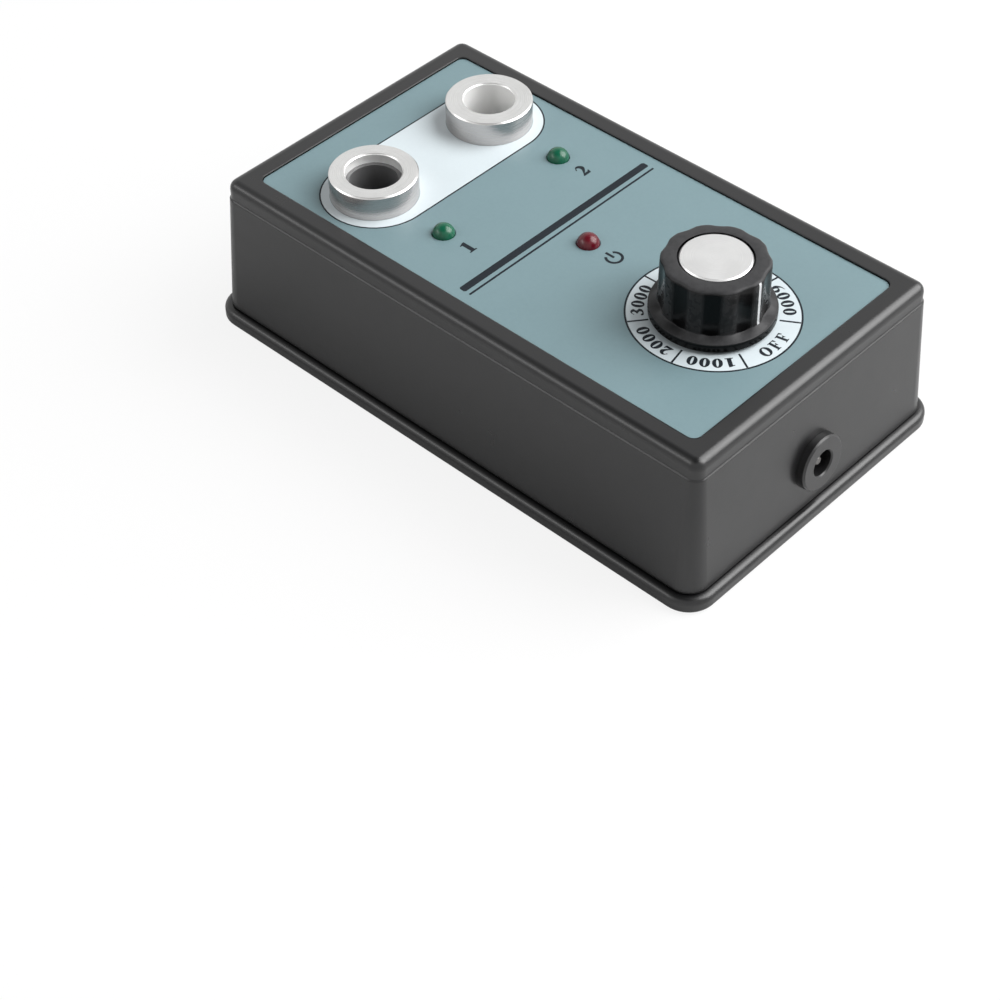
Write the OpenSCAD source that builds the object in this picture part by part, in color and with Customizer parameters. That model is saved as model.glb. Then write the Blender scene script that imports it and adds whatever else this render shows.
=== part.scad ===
// Spark plug tester: a moulded case with two plug sockets, three lamps and a speed knob.
// Millimetres. X runs across the case, Y from the knob end to the socket end, Z up.

/* [Case] */
// Outside width of the case at its rim
case_w = 74.2; // [72:0.2:84]
// Outside length of the case at its rim
case_l = 132.6; // [131:0.2:146]
// Height of the rim over the table
case_h = 37.4; // [36.6:0.2:44]
// Radius of the upright corners at the rim
corner_r = 2.4; // [2.3:0.1:3.4]
// How far each wall leans out from the shoulder to its foot
draft = 2.05; // [1.2:0.05:2.6]
// Thickness of the side walls
wall = 2.2; // [1.8:0.1:2.5]
// Thickness of the top plate under the label
plate_t = 2.6; // [2.2:0.1:3]
// Radius of the rolled edge round the rim
rim_fillet = 2.1; // [1.2:0.1:2.2]
// Width of the rim round the label
rim_w = 5.2; // [4:0.1:5.6]
// Depth of the label's face under the rim
recess_d = 0.4; // [0.3:0.1:0.8]
// Distance of the shoulder below the rim
shoulder_drop = 4.6; // [4.2:0.1:6]
// How far the wall stands out below the shoulder
shoulder_step = 0.3; // [0.2:0.05:0.5]

/* [Base cover] */
// Height of the cover's lip
lip_h = 3.6; // [3.2:0.1:4.4]
// How far the lip stands out past the wall's foot
lip_out = 1.76; // [1:0.02:2]
// Radius of the lip's upper edge
lip_fillet = 1.4; // [0.6:0.1:1.8]
// Radius of the lip's lower edge
foot_fillet = 0.8; // [0.4:0.1:1.2]
// Open seam between the cover and the case
seam = 0.3; // [0.2:0.05:0.5]
// Depth of the pockets that thin the floor
floor_pocket = 1; // [0.6:0.1:1.2]
// Height of the tongue that locates the case
tongue_h = 2.2; // [1.6:0.1:2.8]
// Thickness of the tongue
tongue_t = 1.4; // [1:0.1:1.6]
// Outside diameter of the screw bosses in the case
boss_d = 7; // [6.4:0.1:7.6]

/* [Label] */
// Thickness of the printed label plate
label_t = 0.5; // [0.3:0.05:0.8]
// Corner radius of the label
label_r = 2; // [1:0.1:3]

/* [Sockets] */
// Half the distance between the two socket axes
socket_x = 18; // [17:0.1:19.5]
// Distance of the sockets from the middle of the case
socket_y = 39.5; // [38:0.1:43]
// Outside diameter of the steel rings
ring_d = 19.4; // [18.4:0.1:20.4]
// Height of the rings over the label
ring_h = 5.8; // [4.8:0.1:7]
// Outside diameter of the rings' spigots
spigot_d = 15.8; // [15.4:0.1:16.4]
// Length of the spigots below the label's face
spigot_l = 9; // [8.4:0.1:11]
// Bore of the left ring, which holds the liner
left_ring_bore = 12.4; // [11.9:0.1:12.6]
// Depth of the liner below the left ring's top
liner_drop = 2.3; // [1.6:0.1:3]
// Bore of the right ring, which takes the plug on bare steel
right_ring_bore = 11.4; // [10.8:0.1:11.6]
// Bevel at the rings' mouths
ring_mouth = 0.25; // [0.2:0.05:0.6]
// Plug bore of the left liner
left_plug_bore = 10.6; // [10.2:0.1:10.8]
// Plug bore of the right tube
right_plug_bore = 11.6; // [11.5:0.1:11.9]
// Outside diameter of the tubes below the rings
tube_d = 15.4; // [15:0.1:15.8]
// Distance across the flats of the ring nuts
ring_nut_af = 20; // [19:0.5:22]
// Thickness of the ring nuts
ring_nut_t = 3.5; // [2.6:0.1:3.6]

/* [Sprung contacts] */
// Travel of the contacts
contact_travel = 4; // [3:0.1:4.4]
// Diameter of the spring wire
spring_wire = 0.5; // [0.4:0.05:0.55]
// Number of spring turns
spring_turns = 3.5; // [3:0.5:3.5]
// Bore of the spring chambers
chamber_d = 12.4; // [12:0.1:12.8]
// Guide bore of the contacts
guide_d = 9.6; // [8.8:0.1:10]
// Length of the guide bore
guide_l = 4.6; // [4.2:0.1:5.2]
// Thickness of the contacts' flanges
contact_flange_t = 1.2; // [0.9:0.1:1.5]

/* [Lamps] */
// Diameter of the lamp lenses
lamp_d = 5; // [4.6:0.1:5.2]
// Height of the lamps over the label
lamp_h = 2.3; // [1.9:0.1:3]
// Distance of the green lamps from the middle of the case
green_y = 18.9; // [18:0.1:21]
// Half the distance between the green lamps
green_x = 18; // [16.5:0.1:19.5]
// Place of the red lamp along the case
red_y = -5.8; // [-6.5:0.1:-4]
// Distance between a lamp's two wires
lamp_pitch = 2.54; // [2.2:0.02:2.8]

/* [Knob] */
// Place of the knob's axis along the case
knob_y = -39.3; // [-41:0.1:-38]
// Diameter of the knob's skirt
skirt_d = 26.4; // [25.6:0.1:28]
// Diameter of the fluted body above the skirt
knob_d = 22.7; // [22:0.1:23.4]
// Height of the knob
knob_h = 13.8; // [13:0.1:16]
// Height of the skirt's edge
skirt_h = 2; // [1.8:0.1:2.6]
// Number of flutes
flutes = 10; // [8:1:10]
// Radius of one flute
flute_r = 7; // [6.2:0.1:7.2]
// Distance of the flutes' floor from the axis
flute_floor = 10.65; // [10.45:0.05:10.75]
// How far the flare at the body's foot stands out from the ribs
flare_out = 1.5; // [1.2:0.05:1.6]
// Height of the flare
flare_h = 2.4; // [1.8:0.1:2.8]
// Bevel round the knob's top edge
knob_bevel = 0.8; // [0.4:0.1:0.9]
// How far the knob's top rises from its edge to the cap
crown_h = 0.35; // [0.2:0.05:0.5]
// Diameter of the metal cap
cap_d = 14.9; // [14:0.1:15.6]
// Gap between the knob and the label
knob_gap = 0.7; // [0.3:0.05:1]

/* [Potentiometer] */
// Diameter of the shaft
shaft_d = 6; // [5.6:0.1:6.2]
// Outside diameter of the threaded bushing
bushing_d = 7; // [6.8:0.1:7.4]
// Outside diameter of the housing
pot_d = 16.5; // [15.5:0.1:18]
// Height of the housing
pot_h = 8.3; // [7.5:0.1:8.8]
// Height of the switch below the housing
switch_h = 6.5; // [5.5:0.1:7]

/* [Power inlet] */
// Height of the inlet's axis where it meets the wall
inlet_z = 14.4; // [14.4:0.1:17]
// Diameter of the inlet's flange
inlet_flange_d = 12.8; // [12.4:0.1:14.4]
// Thickness of the flange
inlet_flange_t = 2; // [1.6:0.1:2.6]
// Outside diameter of the inlet's barrel
inlet_d = 10.5; // [10:0.1:11.4]
// Length of the barrel behind the wall's face
inlet_l = 12; // [11:0.1:13]
// Bore of the inlet
inlet_bore = 5.9; // [5.7:0.1:6.4]
// Diameter of the inlet's centre pin
inlet_pin_d = 2.1; // [1.7:0.1:2.5]

/* [Circuit] */
// Width of the circuit board
board_w = 58; // [56:0.2:60]
// Length of the circuit board
board_l = 74; // [72:0.2:75]
// Thickness of the circuit board
board_t = 1.6; // [1.2:0.1:2]
// Height of the posts under the board
post_h = 4; // [3.6:0.1:5]
// Width of one high voltage transformer
coil_w = 18; // [16:0.2:18.4]
// Length of one high voltage transformer
coil_l = 20; // [17:0.2:20.4]
// Height of the transformers
coil_h = 20; // [16:0.2:22]
// Diameter of the capacitors
capacitor_d = 10; // [8:0.1:10.4]
// Height of the capacitors
capacitor_h = 16; // [12:0.2:20]
// Outside diameter of the high voltage leads
hv_lead_d = 2.4; // [2:0.1:2.4]
// Outside diameter of the other leads
lead_d = 1.4; // [1:0.1:1.5]

/* [Clearances] */
// Gap round a turning shaft or a sliding contact
running_gap = 0.06; // [0.03:0.01:0.09]
// Gap round a part that is pushed or screwed in
seat_gap = 0.05; // [0.03:0.01:0.1]
// Gap round a part in a free hole
free_gap = 0.2; // [0.1:0.05:0.3]
// Gap left at a stop
stop_gap = 0.3; // [0.3:0.05:0.5]
// Gap under the inlet's flange
flange_gap = 0.02; // [0.01:0.01:0.05]

/* [Hidden] */
$fn = 64;
sides = [-1, 1];
eps = 0.5;

// Levels of the case
shell_z0 = lip_h + seam;
shoulder_z = case_h - shoulder_drop;
face_z = case_h - recess_d;
pocket_z = face_z - label_t;
ceil_z = pocket_z - plate_t;
floor_z = lip_h - floor_pocket;
corner_x = case_w / 2 - corner_r;
corner_y = case_l / 2 - corner_r;
lean = atan(draft / (shoulder_z - shell_z0));

// Distance of the outer wall from the line of corner centres
function wall_out(z) =
    corner_r + shoulder_step + draft * (shoulder_z - z) / (shoulder_z - shell_z0);

// Cover screws
boss_bite = 0.4;
boss_x = case_w / 2 - wall - boss_d / 2 + boss_bite;
boss_y = case_l / 2 - wall - boss_d / 2 + boss_bite;
web_t = 1.6;
web_clear = 1;
web_z = lip_h + tongue_h + web_clear;
screw_d = 3;
screw_head_d = 5.6;
screw_head_t = 1.7;
screw_l = 13;
screw_sunk = 0.1;
screw_seat_z = screw_head_t + screw_sunk;

// Label holes
label_gap = 0.15;
label_w = case_w - 2 * rim_w;
label_l = case_l - 2 * rim_w;
socket_hole_d = spigot_d + 2 * free_gap;
bushing_hole_d = bushing_d + 2 * free_gap;
lamp_hole_d = lamp_d + free_gap;

// Levels of the sockets
ring_top = face_z + ring_h;
spigot_z = face_z - spigot_l;
tag_t = 0.6;
ring_nut_z = ceil_z - tag_t - ring_nut_t;
steel_sink = 4.4;
steel_bore_l = ring_h + steel_sink;
tube_stand = 2;
tube_z = floor_z + tube_stand;
liner_wall_d = left_ring_bore - 2 * seat_gap;
sleeve_step = 1;
sleeve_d = right_ring_bore + 2 * sleeve_step;
seat_t = 0.8;
lug_t = 0.8;
lug_w = 4;
lug_out = 2;
lug_end = tube_d / 2 + lug_out;
seat_top = tube_z + seat_t;
end_turns = 1.5;
spring_solid_l = (spring_turns + end_turns) * spring_wire;
spring_l = contact_travel + spring_solid_l;
contact_flange_z = seat_top + spring_l;
guide_z = contact_flange_z + contact_flange_t + stop_gap;
plug_bore_z = guide_z + guide_l;
contact_sunk = 1;
contact_top = plug_bore_z - contact_sunk;
spring_room = 0.8;
spring_d = chamber_d - 2 * spring_room;
tab_out = 4;
tab_reach = ring_nut_af / 2 + tab_out;
tab_h = 5;
tab_w = 4;

// Lamps
lamp_flange_step = 0.4;
lamp_flange_d = lamp_d + 2 * lamp_flange_step;
lamp_flange_t = 1;
lamp_body_l = 8.6;
lamp_top = face_z + lamp_h;
lamp_z = lamp_top - lamp_body_l;
collar_z = lamp_z + lamp_flange_t;
collar_wall = 1.4;
collar_d = lamp_hole_d + 2 * collar_wall;
lamp_wire_d = 0.5;
lamp_places = [[-green_x, green_y], [green_x, green_y], [0, red_y]];

// Knob and potentiometer
knob_z = face_z + knob_gap;
knob_top = knob_z + knob_h;
flute_axis_r = flute_floor + flute_r;
flare_foot_r = knob_d / 2 + flare_out;
flare_waist_share = 0.15;
flare_waist_rise = 0.4;
flare_waist_r = knob_d / 2 + flare_waist_share * flare_out;
flare_waist_h = flare_waist_rise * flare_h;
flare_sink = 0.1;
flare_top_r = flute_floor - flare_sink;
skirt_bevel = 0.3;
knob_taper = 0.15;
cap_t = 1;
cap_groove = 0.35;
bush_d = 10;
washer_t = 0.5;
washer_step = 2.5;
washer_d = bushing_d + 2 * washer_step;
nut_wall = 1.5;
pot_nut_af = bushing_d + 2 * nut_wall;
pot_nut_t = 2.2;
bushing_proud = 1.2;
bushing_top = face_z + washer_t + pot_nut_t + bushing_proud;
nut_room = 2;
knob_hollow_d = pot_nut_af * 2 / sqrt(3) + 2 * nut_room;
knob_clear = 0.5;
knob_hollow_top = bushing_top + knob_clear;
cap_web = 1;
bush_top = knob_top - cap_t - cap_web;
shaft_short = 0.4;
shaft_top = bush_top - shaft_short;
flat_depth = 1.5;
flat_l = shaft_top - knob_hollow_top;
grub_d = 3;
grub_l = 6;
grub_z = (knob_hollow_top + bush_top) / 2;
grub_socket_af = 1.5;
pot_plate_t = 1.2;
pot_wall = 0.6;
pot_z = ceil_z - pot_plate_t - pot_h;
rotor_t = 2;
rotor_lift = 3.2;
rotor_z = pot_z + rotor_lift;
shaft_lift = 1.6;
shaft_z = pot_z + shaft_lift;
switch_z = pot_z - switch_h;
pot_tag_w = 1.6;
pot_tag_t = 0.6;
pot_tag_l = 4;
pot_tag_lift = 1.2;
pot_tag_z = pot_z + pot_tag_lift;
pot_tag_pitch = 5;
pot_tag_y = knob_y + pot_d / 2;
switch_tag_out = 4;
switch_tag_y = knob_y - switch_tag_out;

// Power inlet
inlet_y = -(corner_y + wall_out(inlet_z));
inlet_wall = wall * cos(lean);
inlet_nut_t = 2.2;
inlet_nut_af = inlet_d + 2 * nut_wall;
inlet_end_t = 2.5;
inlet_depth = inlet_l - inlet_end_t;
pin_sunk = 1.2;
inlet_pin_front = inlet_flange_t - pin_sunk;
inlet_tag_l = 4;
inlet_tag_x = 3.4;

// Circuit board
board_z = floor_z + post_h;
board_top = board_z + board_t;
board_r = 1;
board_y0 = -50;
board_y1 = board_y0 + board_l;
post_d = 6;
post_inset = 4;
post_x = board_w / 2 - post_inset;
post_ys = [board_y0 + post_inset, board_y1 - post_inset];
board_screw_d = 2;
board_screw_head_d = 4.4;
board_screw_head_t = 1.6;
board_screw_end = 1;
board_screw_l = post_h + board_t - board_screw_end;
coil_x = 17;
coil_y = 3;
coil_r = 2;
terminal_inset = 3;
terminal_lift = 6;
coil_terminal_x = coil_x - coil_w / 2 + terminal_inset;
coil_terminal_y = coil_y + coil_l / 2;
coil_terminal_z = board_top + terminal_lift;
coil_terminal_l = 1.5;
chip_l = 19;
chip_w = 6.4;
chip_t = 3.3;
chip_y = -34;
chip_pins = 7;
pin_pitch = 2.54;
sink_x = 22.5;
sink_y = -24;
sink_w = 15;
sink_d = 6;
sink_h = 19;
sink_t = 1.2;
transistor_w = 10;
transistor_t = 4.4;
transistor_h = 9;
tab_metal_t = 1.3;
tab_metal_h = 15.6;
leg_h = 4;
leg_w = 0.9;
leg_t = 0.6;
leg_x = 2.4;
capacitor_x = 9;
capacitor_y = -16;
earth_pad = [4, 20.5];
pot_pad_out = 1.5;
pot_pad_y = pot_tag_y + pot_tag_l + pot_pad_out;
inlet_pad_inset = 3;
inlet_pad_y = board_y0 + inlet_pad_inset;
tube_sides = 8;
spring_sides = 6;
spring_steps = 16;

// How far each lead runs straight from its ends before it bends
hv_leave = 12;
hv_arrive = 4;
earth_leave = 4.5;
earth_arrive = 18;
pot_leave = 3;
pot_arrive = 9;
switch_leave = 2;
inlet_leave = 3;

// Vectors and curves
function unit(v) = v / norm(v);
function bezier(a, b, c, d, t) =
    pow(1 - t, 3) * a + 3 * t * pow(1 - t, 2) * b + 3 * t * t * (1 - t) * c + pow(t, 3) * d;
function bezier_dir(a, b, c, d, t) =
    unit(pow(1 - t, 2) * (b - a) + 2 * t * (1 - t) * (c - b) + t * t * (d - c));
function ring_points(centre, dir, ref, r, n) =
    let (u = unit(cross(ref, dir)), v = cross(dir, u))
    [for (k = [0 : n - 1]) centre + r * (cos(360 * k / n) * u + sin(360 * k / n) * v)];

// Round tube through points, with the direction at each and a reference they never follow
module tube(points, dirs, ref, r, n) {
    last = len(points) - 1;
    rings = [for (i = [0 : last]) each ring_points(points[i], dirs[i], ref, r, n)];
    skin = [
        for (i = [0 : last - 1], k = [0 : n - 1])
            let (a = i * n + k, b = i * n + (k + 1) % n)
            each [[a, b + n, b], [a, a + n, b + n]]
    ];
    near_cap = [for (k = [1 : n - 2]) [0, k, k + 1]];
    far_cap = [for (k = [1 : n - 2]) [last * n, last * n + k + 1, last * n + k]];
    polyhedron(rings, concat(skin, near_cap, far_cap));
}

// Insulated lead from one end to the other, leaving and arriving along the given vectors
module lead(from, leave, to, arrive, d, steps, ref) {
    b = from + leave;
    c = to - arrive;
    tube(
        [for (i = [0 : steps]) bezier(from, b, c, to, i / steps)],
        [for (i = [0 : steps]) bezier_dir(from, b, c, to, i / steps)],
        ref, d / 2, tube_sides
    );
}

// Solid whose half profile, across and up, runs round the rectangle of corner centres
module swept_round(half_x, half_y) {
    for (quarter = [0 : 3]) {
        sx = (quarter == 0 || quarter == 3) ? 1 : -1;
        sy = quarter < 2 ? 1 : -1;
        translate([sx * half_x, sy * half_y, 0])
            rotate(90 * quarter)
                rotate_extrude(angle = 90)
                    children();
    }
    for (turn = [0, 180]) {
        rotate(turn)
            translate([half_x, 0, 0])
                rotate([90, 0, 0])
                    linear_extrude(2 * half_y, center = true)
                        children();
        rotate(turn + 90)
            translate([half_y, 0, 0])
                rotate([90, 0, 0])
                    linear_extrude(2 * half_x, center = true)
                        children();
    }
}

// The same, filled in the middle between two levels
module swept_solid(half_x, half_y, z0, z1) {
    swept_round(half_x, half_y)
        children();
    translate([-half_x, -half_y, z0])
        cube([2 * half_x, 2 * half_y, z1 - z0]);
}

// Flat plate with round corners
module rounded_plate(w, l, t, r) {
    linear_extrude(t)
        union() {
            square([w - 2 * r, l], center = true);
            square([w, l - 2 * r], center = true);
            for (sx = sides, sy = sides)
                translate([sx * (w / 2 - r), sy * (l / 2 - r)])
                    circle(r);
        }
}

// Removes the outer corner of a profile, leaving a round edge that ends at the corner point
module round_edge(r) {
    difference() {
        translate([-r, -r])
            square(r + eps);
        translate([-r, -r])
            circle(r);
    }
}

module tube_ring(outer_d, inner_d, h) {
    difference() {
        cylinder(d = outer_d, h = h);
        translate([0, 0, -eps])
            cylinder(d = inner_d, h = h + 2 * eps);
    }
}

module hex_nut(af, bore, t) {
    difference() {
        cylinder(d = af * 2 / sqrt(3), h = t, $fn = 6);
        translate([0, 0, -eps])
            cylinder(d = bore, h = t + 2 * eps);
    }
}

module at_sockets() {
    for (sx = sides)
        translate([sx * socket_x, socket_y, 0])
            children();
}

module at_bosses() {
    for (sx = sides, sy = sides)
        translate([sx * boss_x, sy * boss_y, 0])
            children();
}

module at_posts() {
    for (sx = sides, y = post_ys)
        translate([sx * post_x, y, 0])
            children();
}

module at_lamps() {
    for (place = lamp_places)
        translate([place.x, place.y, 0])
            children();
}

module at_knob() {
    translate([0, knob_y, 0])
        children();
}

// Inlet axis: Z points out of the leaning front wall, with zero on the wall's face
module at_inlet() {
    translate([0, inlet_y, inlet_z])
        rotate([90 - lean, 0, 0])
            children();
}

// Outer half profile of the case
module shell_profile() {
    difference() {
        polygon([
            [0, shell_z0],
            [wall_out(shell_z0), shell_z0],
            [wall_out(shoulder_z), shoulder_z],
            [corner_r, shoulder_z + shoulder_step],
            [corner_r, case_h],
            [0, case_h]
        ]);
        translate([corner_r, case_h])
            round_edge(rim_fillet);
    }
}

// Half profile of the space inside the case
module cavity_profile() {
    polygon([
        [0, shell_z0 - eps],
        [wall_out(shell_z0 - eps) - wall, shell_z0 - eps],
        [wall_out(shoulder_z) - wall, shoulder_z],
        [wall_out(shoulder_z) - wall, ceil_z],
        [0, ceil_z]
    ]);
}

module shell_solid() {
    swept_solid(corner_x, corner_y, shell_z0, case_h)
        shell_profile();
}

// Screw boss with the two webs that tie it to the walls
module screw_bosses() {
    at_bosses()
        translate([0, 0, lip_h])
            cylinder(d = boss_d, h = ceil_z - lip_h + eps);
    intersection() {
        for (sx = sides, sy = sides) {
            translate([sx * (boss_x + boss_d / 2), sy * boss_y, (web_z + ceil_z) / 2])
                cube([boss_d, web_t, ceil_z - web_z + eps], center = true);
            translate([sx * boss_x, sy * (boss_y + boss_d / 2), (web_z + ceil_z) / 2])
                cube([web_t, boss_d, ceil_z - web_z + eps], center = true);
        }
        shell_solid();
    }
}

module case_shell() {
    color("#3c3c3f")
        difference() {
            union() {
                difference() {
                    shell_solid();
                    swept_solid(corner_x, corner_y, shell_z0 - eps, ceil_z)
                        cavity_profile();
                }
                screw_bosses();
                at_lamps()
                    translate([0, 0, collar_z])
                        cylinder(d = collar_d, h = ceil_z - collar_z + eps);
            }
            translate([0, 0, pocket_z])
                rounded_plate(label_w, label_l, recess_d + label_t + eps, label_r);
            at_sockets()
                translate([0, 0, ceil_z - eps])
                    cylinder(d = socket_hole_d, h = plate_t + 2 * eps);
            at_knob()
                translate([0, 0, ceil_z - eps])
                    cylinder(d = bushing_hole_d, h = plate_t + 2 * eps);
            at_lamps()
                translate([0, 0, collar_z - eps])
                    cylinder(d = lamp_hole_d, h = pocket_z - collar_z + 2 * eps);
            at_bosses()
                translate([0, 0, lip_h - eps])
                    cylinder(d = screw_d + 2 * seat_gap, h = screw_l + eps);
            at_inlet()
                translate([0, 0, -inlet_wall - eps])
                    cylinder(d = inlet_d + 2 * free_gap, h = inlet_wall + 2 * eps);
        }
}

module lip_profile() {
    lip_edge = wall_out(shell_z0) + lip_out;
    difference() {
        square([lip_edge, lip_h]);
        translate([lip_edge, lip_h])
            round_edge(lip_fillet);
        translate([lip_edge, 0])
            mirror([0, 1])
                round_edge(foot_fillet);
    }
}

module base_cover() {
    tongue_out = wall_out(shell_z0) - wall - free_gap;
    pad_rim = 1;
    pad = boss_d / 2 + pad_rim;
    inner_x = corner_x + tongue_out - tongue_t;
    inner_y = corner_y + tongue_out - tongue_t;
    color("#343436")
        difference() {
            union() {
                swept_solid(corner_x, corner_y, 0, lip_h)
                    lip_profile();
                swept_round(corner_x, corner_y)
                    translate([tongue_out - tongue_t, lip_h - eps])
                        square([tongue_t, tongue_h + eps]);
                at_posts()
                    translate([0, 0, floor_z - eps])
                        cylinder(d = post_d, h = post_h + eps);
            }
            difference() {
                union() {
                    translate([-inner_x, -(boss_y - pad), floor_z])
                        cube([2 * inner_x, 2 * (boss_y - pad), floor_pocket + eps]);
                    translate([-(boss_x - pad), -inner_y, floor_z])
                        cube([2 * (boss_x - pad), 2 * inner_y, floor_pocket + eps]);
                }
                at_posts()
                    cylinder(d = post_d, h = board_z);
            }
            at_posts()
                translate([0, 0, board_z - board_screw_l])
                    cylinder(d = board_screw_d + 2 * seat_gap, h = board_screw_l + eps);
            at_bosses() {
                translate([0, 0, -eps])
                    cylinder(d = screw_d + 2 * free_gap, h = lip_h + 2 * eps);
                translate([0, 0, -eps])
                    cylinder(d = screw_head_d + 4 * free_gap, h = screw_seat_z + eps);
            }
        }
}

// Cross recess in a screw head that faces down the Z axis
module cross_recess(reach, depth) {
    slot_w = 0.7;
    for (turn = [0, 90])
        rotate(turn)
            translate([-reach / 2, -slot_w / 2, -eps])
                cube([reach, slot_w, depth + eps]);
}

module cover_screws() {
    color("silver")
        at_bosses()
            difference() {
                union() {
                    translate([0, 0, screw_seat_z - screw_head_t])
                        cylinder(d = screw_head_d, h = screw_head_t);
                    translate([0, 0, screw_seat_z - eps])
                        cylinder(d = screw_d, h = screw_l + eps);
                }
                translate([0, 0, screw_seat_z - screw_head_t])
                    cross_recess(screw_d, screw_head_t / 2);
            }
}

module face_label() {
    color("#8ca6ac")
        difference() {
            translate([0, 0, pocket_z])
                rounded_plate(
                    label_w - 2 * label_gap, label_l - 2 * label_gap, label_t, label_r - label_gap
                );
            at_sockets()
                translate([0, 0, pocket_z - eps])
                    cylinder(d = socket_hole_d, h = label_t + 2 * eps);
            at_knob()
                translate([0, 0, pocket_z - eps])
                    cylinder(d = bushing_hole_d, h = label_t + 2 * eps);
            at_lamps()
                translate([0, 0, pocket_z - eps])
                    cylinder(d = lamp_hole_d, h = label_t + 2 * eps);
        }
}

// Turned steel ring on the label, with the spigot that goes through the case
module socket_ring(bore) {
    edge = 0.3;
    rotate_extrude()
        polygon([
            [bore / 2, spigot_z],
            [spigot_d / 2, spigot_z],
            [spigot_d / 2, face_z],
            [ring_d / 2, face_z],
            [ring_d / 2, ring_top - edge],
            [ring_d / 2 - edge, ring_top],
            [bore / 2 + ring_mouth, ring_top],
            [bore / 2, ring_top - ring_mouth]
        ]);
}

module left_socket_ring() {
    color("gainsboro")
        translate([-socket_x, socket_y, 0])
            socket_ring(left_ring_bore);
}

module right_socket_ring() {
    color("gainsboro")
        translate([socket_x, socket_y, 0])
            difference() {
                socket_ring(right_ring_bore);
                translate([0, 0, spigot_z - eps])
                    cylinder(d = sleeve_d, h = ring_top - steel_bore_l - spigot_z + eps);
            }
}

module ring_nuts() {
    color("silver")
        at_sockets()
            translate([0, 0, ring_nut_z])
                hex_nut(ring_nut_af, spigot_d + 2 * seat_gap, ring_nut_t);
}

// Washer under each ring nut, with a tab turned down for the earth lead
module earth_tags() {
    color("goldenrod")
        for (sx = sides)
            translate([sx * socket_x, socket_y, ceil_z - tag_t])
                difference() {
                    union() {
                        cylinder(d = ring_nut_af, h = tag_t);
                        translate([sx > 0 ? -tab_reach : 0, -tab_w / 2, 0])
                            cube([tab_reach, tab_w, tag_t]);
                        translate([sx > 0 ? -tab_reach : tab_reach - tag_t, -tab_w / 2, tag_t - tab_h])
                            cube([tag_t, tab_w, tab_h]);
                    }
                    translate([0, 0, -eps])
                        cylinder(d = spigot_d + 2 * seat_gap, h = tag_t + 2 * eps);
                }
}

// Insulating tube: shouldered under the ring, bored for the plug, the contact and its spring
module insulator_tube(neck_d, neck_top, plug_bore) {
    rotate_extrude()
        polygon([
            [chamber_d / 2, tube_z],
            [tube_d / 2, tube_z],
            [tube_d / 2, spigot_z],
            [neck_d / 2, spigot_z],
            [neck_d / 2, neck_top],
            [plug_bore / 2, neck_top],
            [plug_bore / 2, plug_bore_z],
            [guide_d / 2, plug_bore_z],
            [guide_d / 2, guide_z],
            [chamber_d / 2, guide_z]
        ]);
}

module left_insulator_tube() {
    color("#1c1c1e")
        translate([-socket_x, socket_y, 0])
            insulator_tube(liner_wall_d, ring_top - liner_drop, left_plug_bore);
}

module right_insulator_tube() {
    color("#1c1c1e")
        translate([socket_x, socket_y, 0])
            insulator_tube(sleeve_d - 2 * seat_gap, ring_top - steel_bore_l, right_plug_bore);
}

// Brass contact with a dished top for the plug's terminal
module plug_contact() {
    head_d = guide_d - 2 * running_gap;
    flange_d = chamber_d - 2 * stop_gap;
    edge = 0.3;
    dish_rim = 0.8;
    dish_r = head_d / 2 - dish_rim;
    dish_floor_r = 0.8;
    dish_d = 1.4;
    spigot_r = spring_d / 2 - spring_wire - stop_gap;
    spigot_h = 0.8;
    rotate_extrude()
        polygon([
            [0, contact_flange_z - spigot_h],
            [spigot_r, contact_flange_z - spigot_h],
            [spigot_r, contact_flange_z],
            [flange_d / 2, contact_flange_z],
            [flange_d / 2, contact_flange_z + contact_flange_t],
            [head_d / 2, contact_flange_z + contact_flange_t],
            [head_d / 2, contact_top - edge],
            [head_d / 2 - edge, contact_top],
            [dish_r, contact_top],
            [dish_floor_r, contact_top - dish_d],
            [0, contact_top - dish_d]
        ]);
}

module left_contact() {
    color("gold")
        translate([-socket_x, socket_y, 0])
            plug_contact();
}

module right_contact() {
    color("gold")
        translate([socket_x, socket_y, 0])
            plug_contact();
}

// Compression spring between the seat and the contact, as one unbroken wire
module contact_spring() {
    rings = spring_steps * spring_turns;
    step = 360 / spring_steps;
    low = seat_top + spring_wire / 2 + seat_gap;
    high = contact_flange_z - spring_wire / 2 - stop_gap;
    r = (spring_d - spring_wire) / 2;
    points = [
        for (i = [0 : rings])
            [r * cos(step * i), r * sin(step * i), low + (high - low) * i / rings]
    ];
    rise = (high - low) / (spring_turns * 2 * PI * r);
    dirs = [for (i = [0 : rings]) unit([-sin(step * i), cos(step * i), rise])];
    half_turn = spring_steps / 2;
    gaps = [
        for (i = [0 : rings - half_turn], k = [i + half_turn : rings])
            norm(points[i] - points[k]) - spring_wire
    ];
    echo(least_spring_gap = min(gaps));
    tube(points, dirs, [0, 0, 1], spring_wire / 2, spring_sides);
}

module left_contact_spring() {
    color("lightsteelblue")
        translate([-socket_x, socket_y, 0])
            contact_spring();
}

module right_contact_spring() {
    color("lightsteelblue")
        translate([socket_x, socket_y, 0])
            contact_spring();
}

// Brass plug in the tube's foot, with a lug for the high voltage lead
module contact_seat() {
    translate([0, 0, tube_z])
        cylinder(d = chamber_d - 2 * seat_gap, h = seat_t);
    translate([-lug_w / 2, -lug_end, tube_z - lug_t])
        cube([lug_w, lug_end + lug_w / 2, lug_t]);
}

module left_contact_seat() {
    color("darkgoldenrod")
        translate([-socket_x, socket_y, 0])
            contact_seat();
}

module right_contact_seat() {
    color("darkgoldenrod")
        translate([socket_x, socket_y, 0])
            contact_seat();
}

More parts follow.
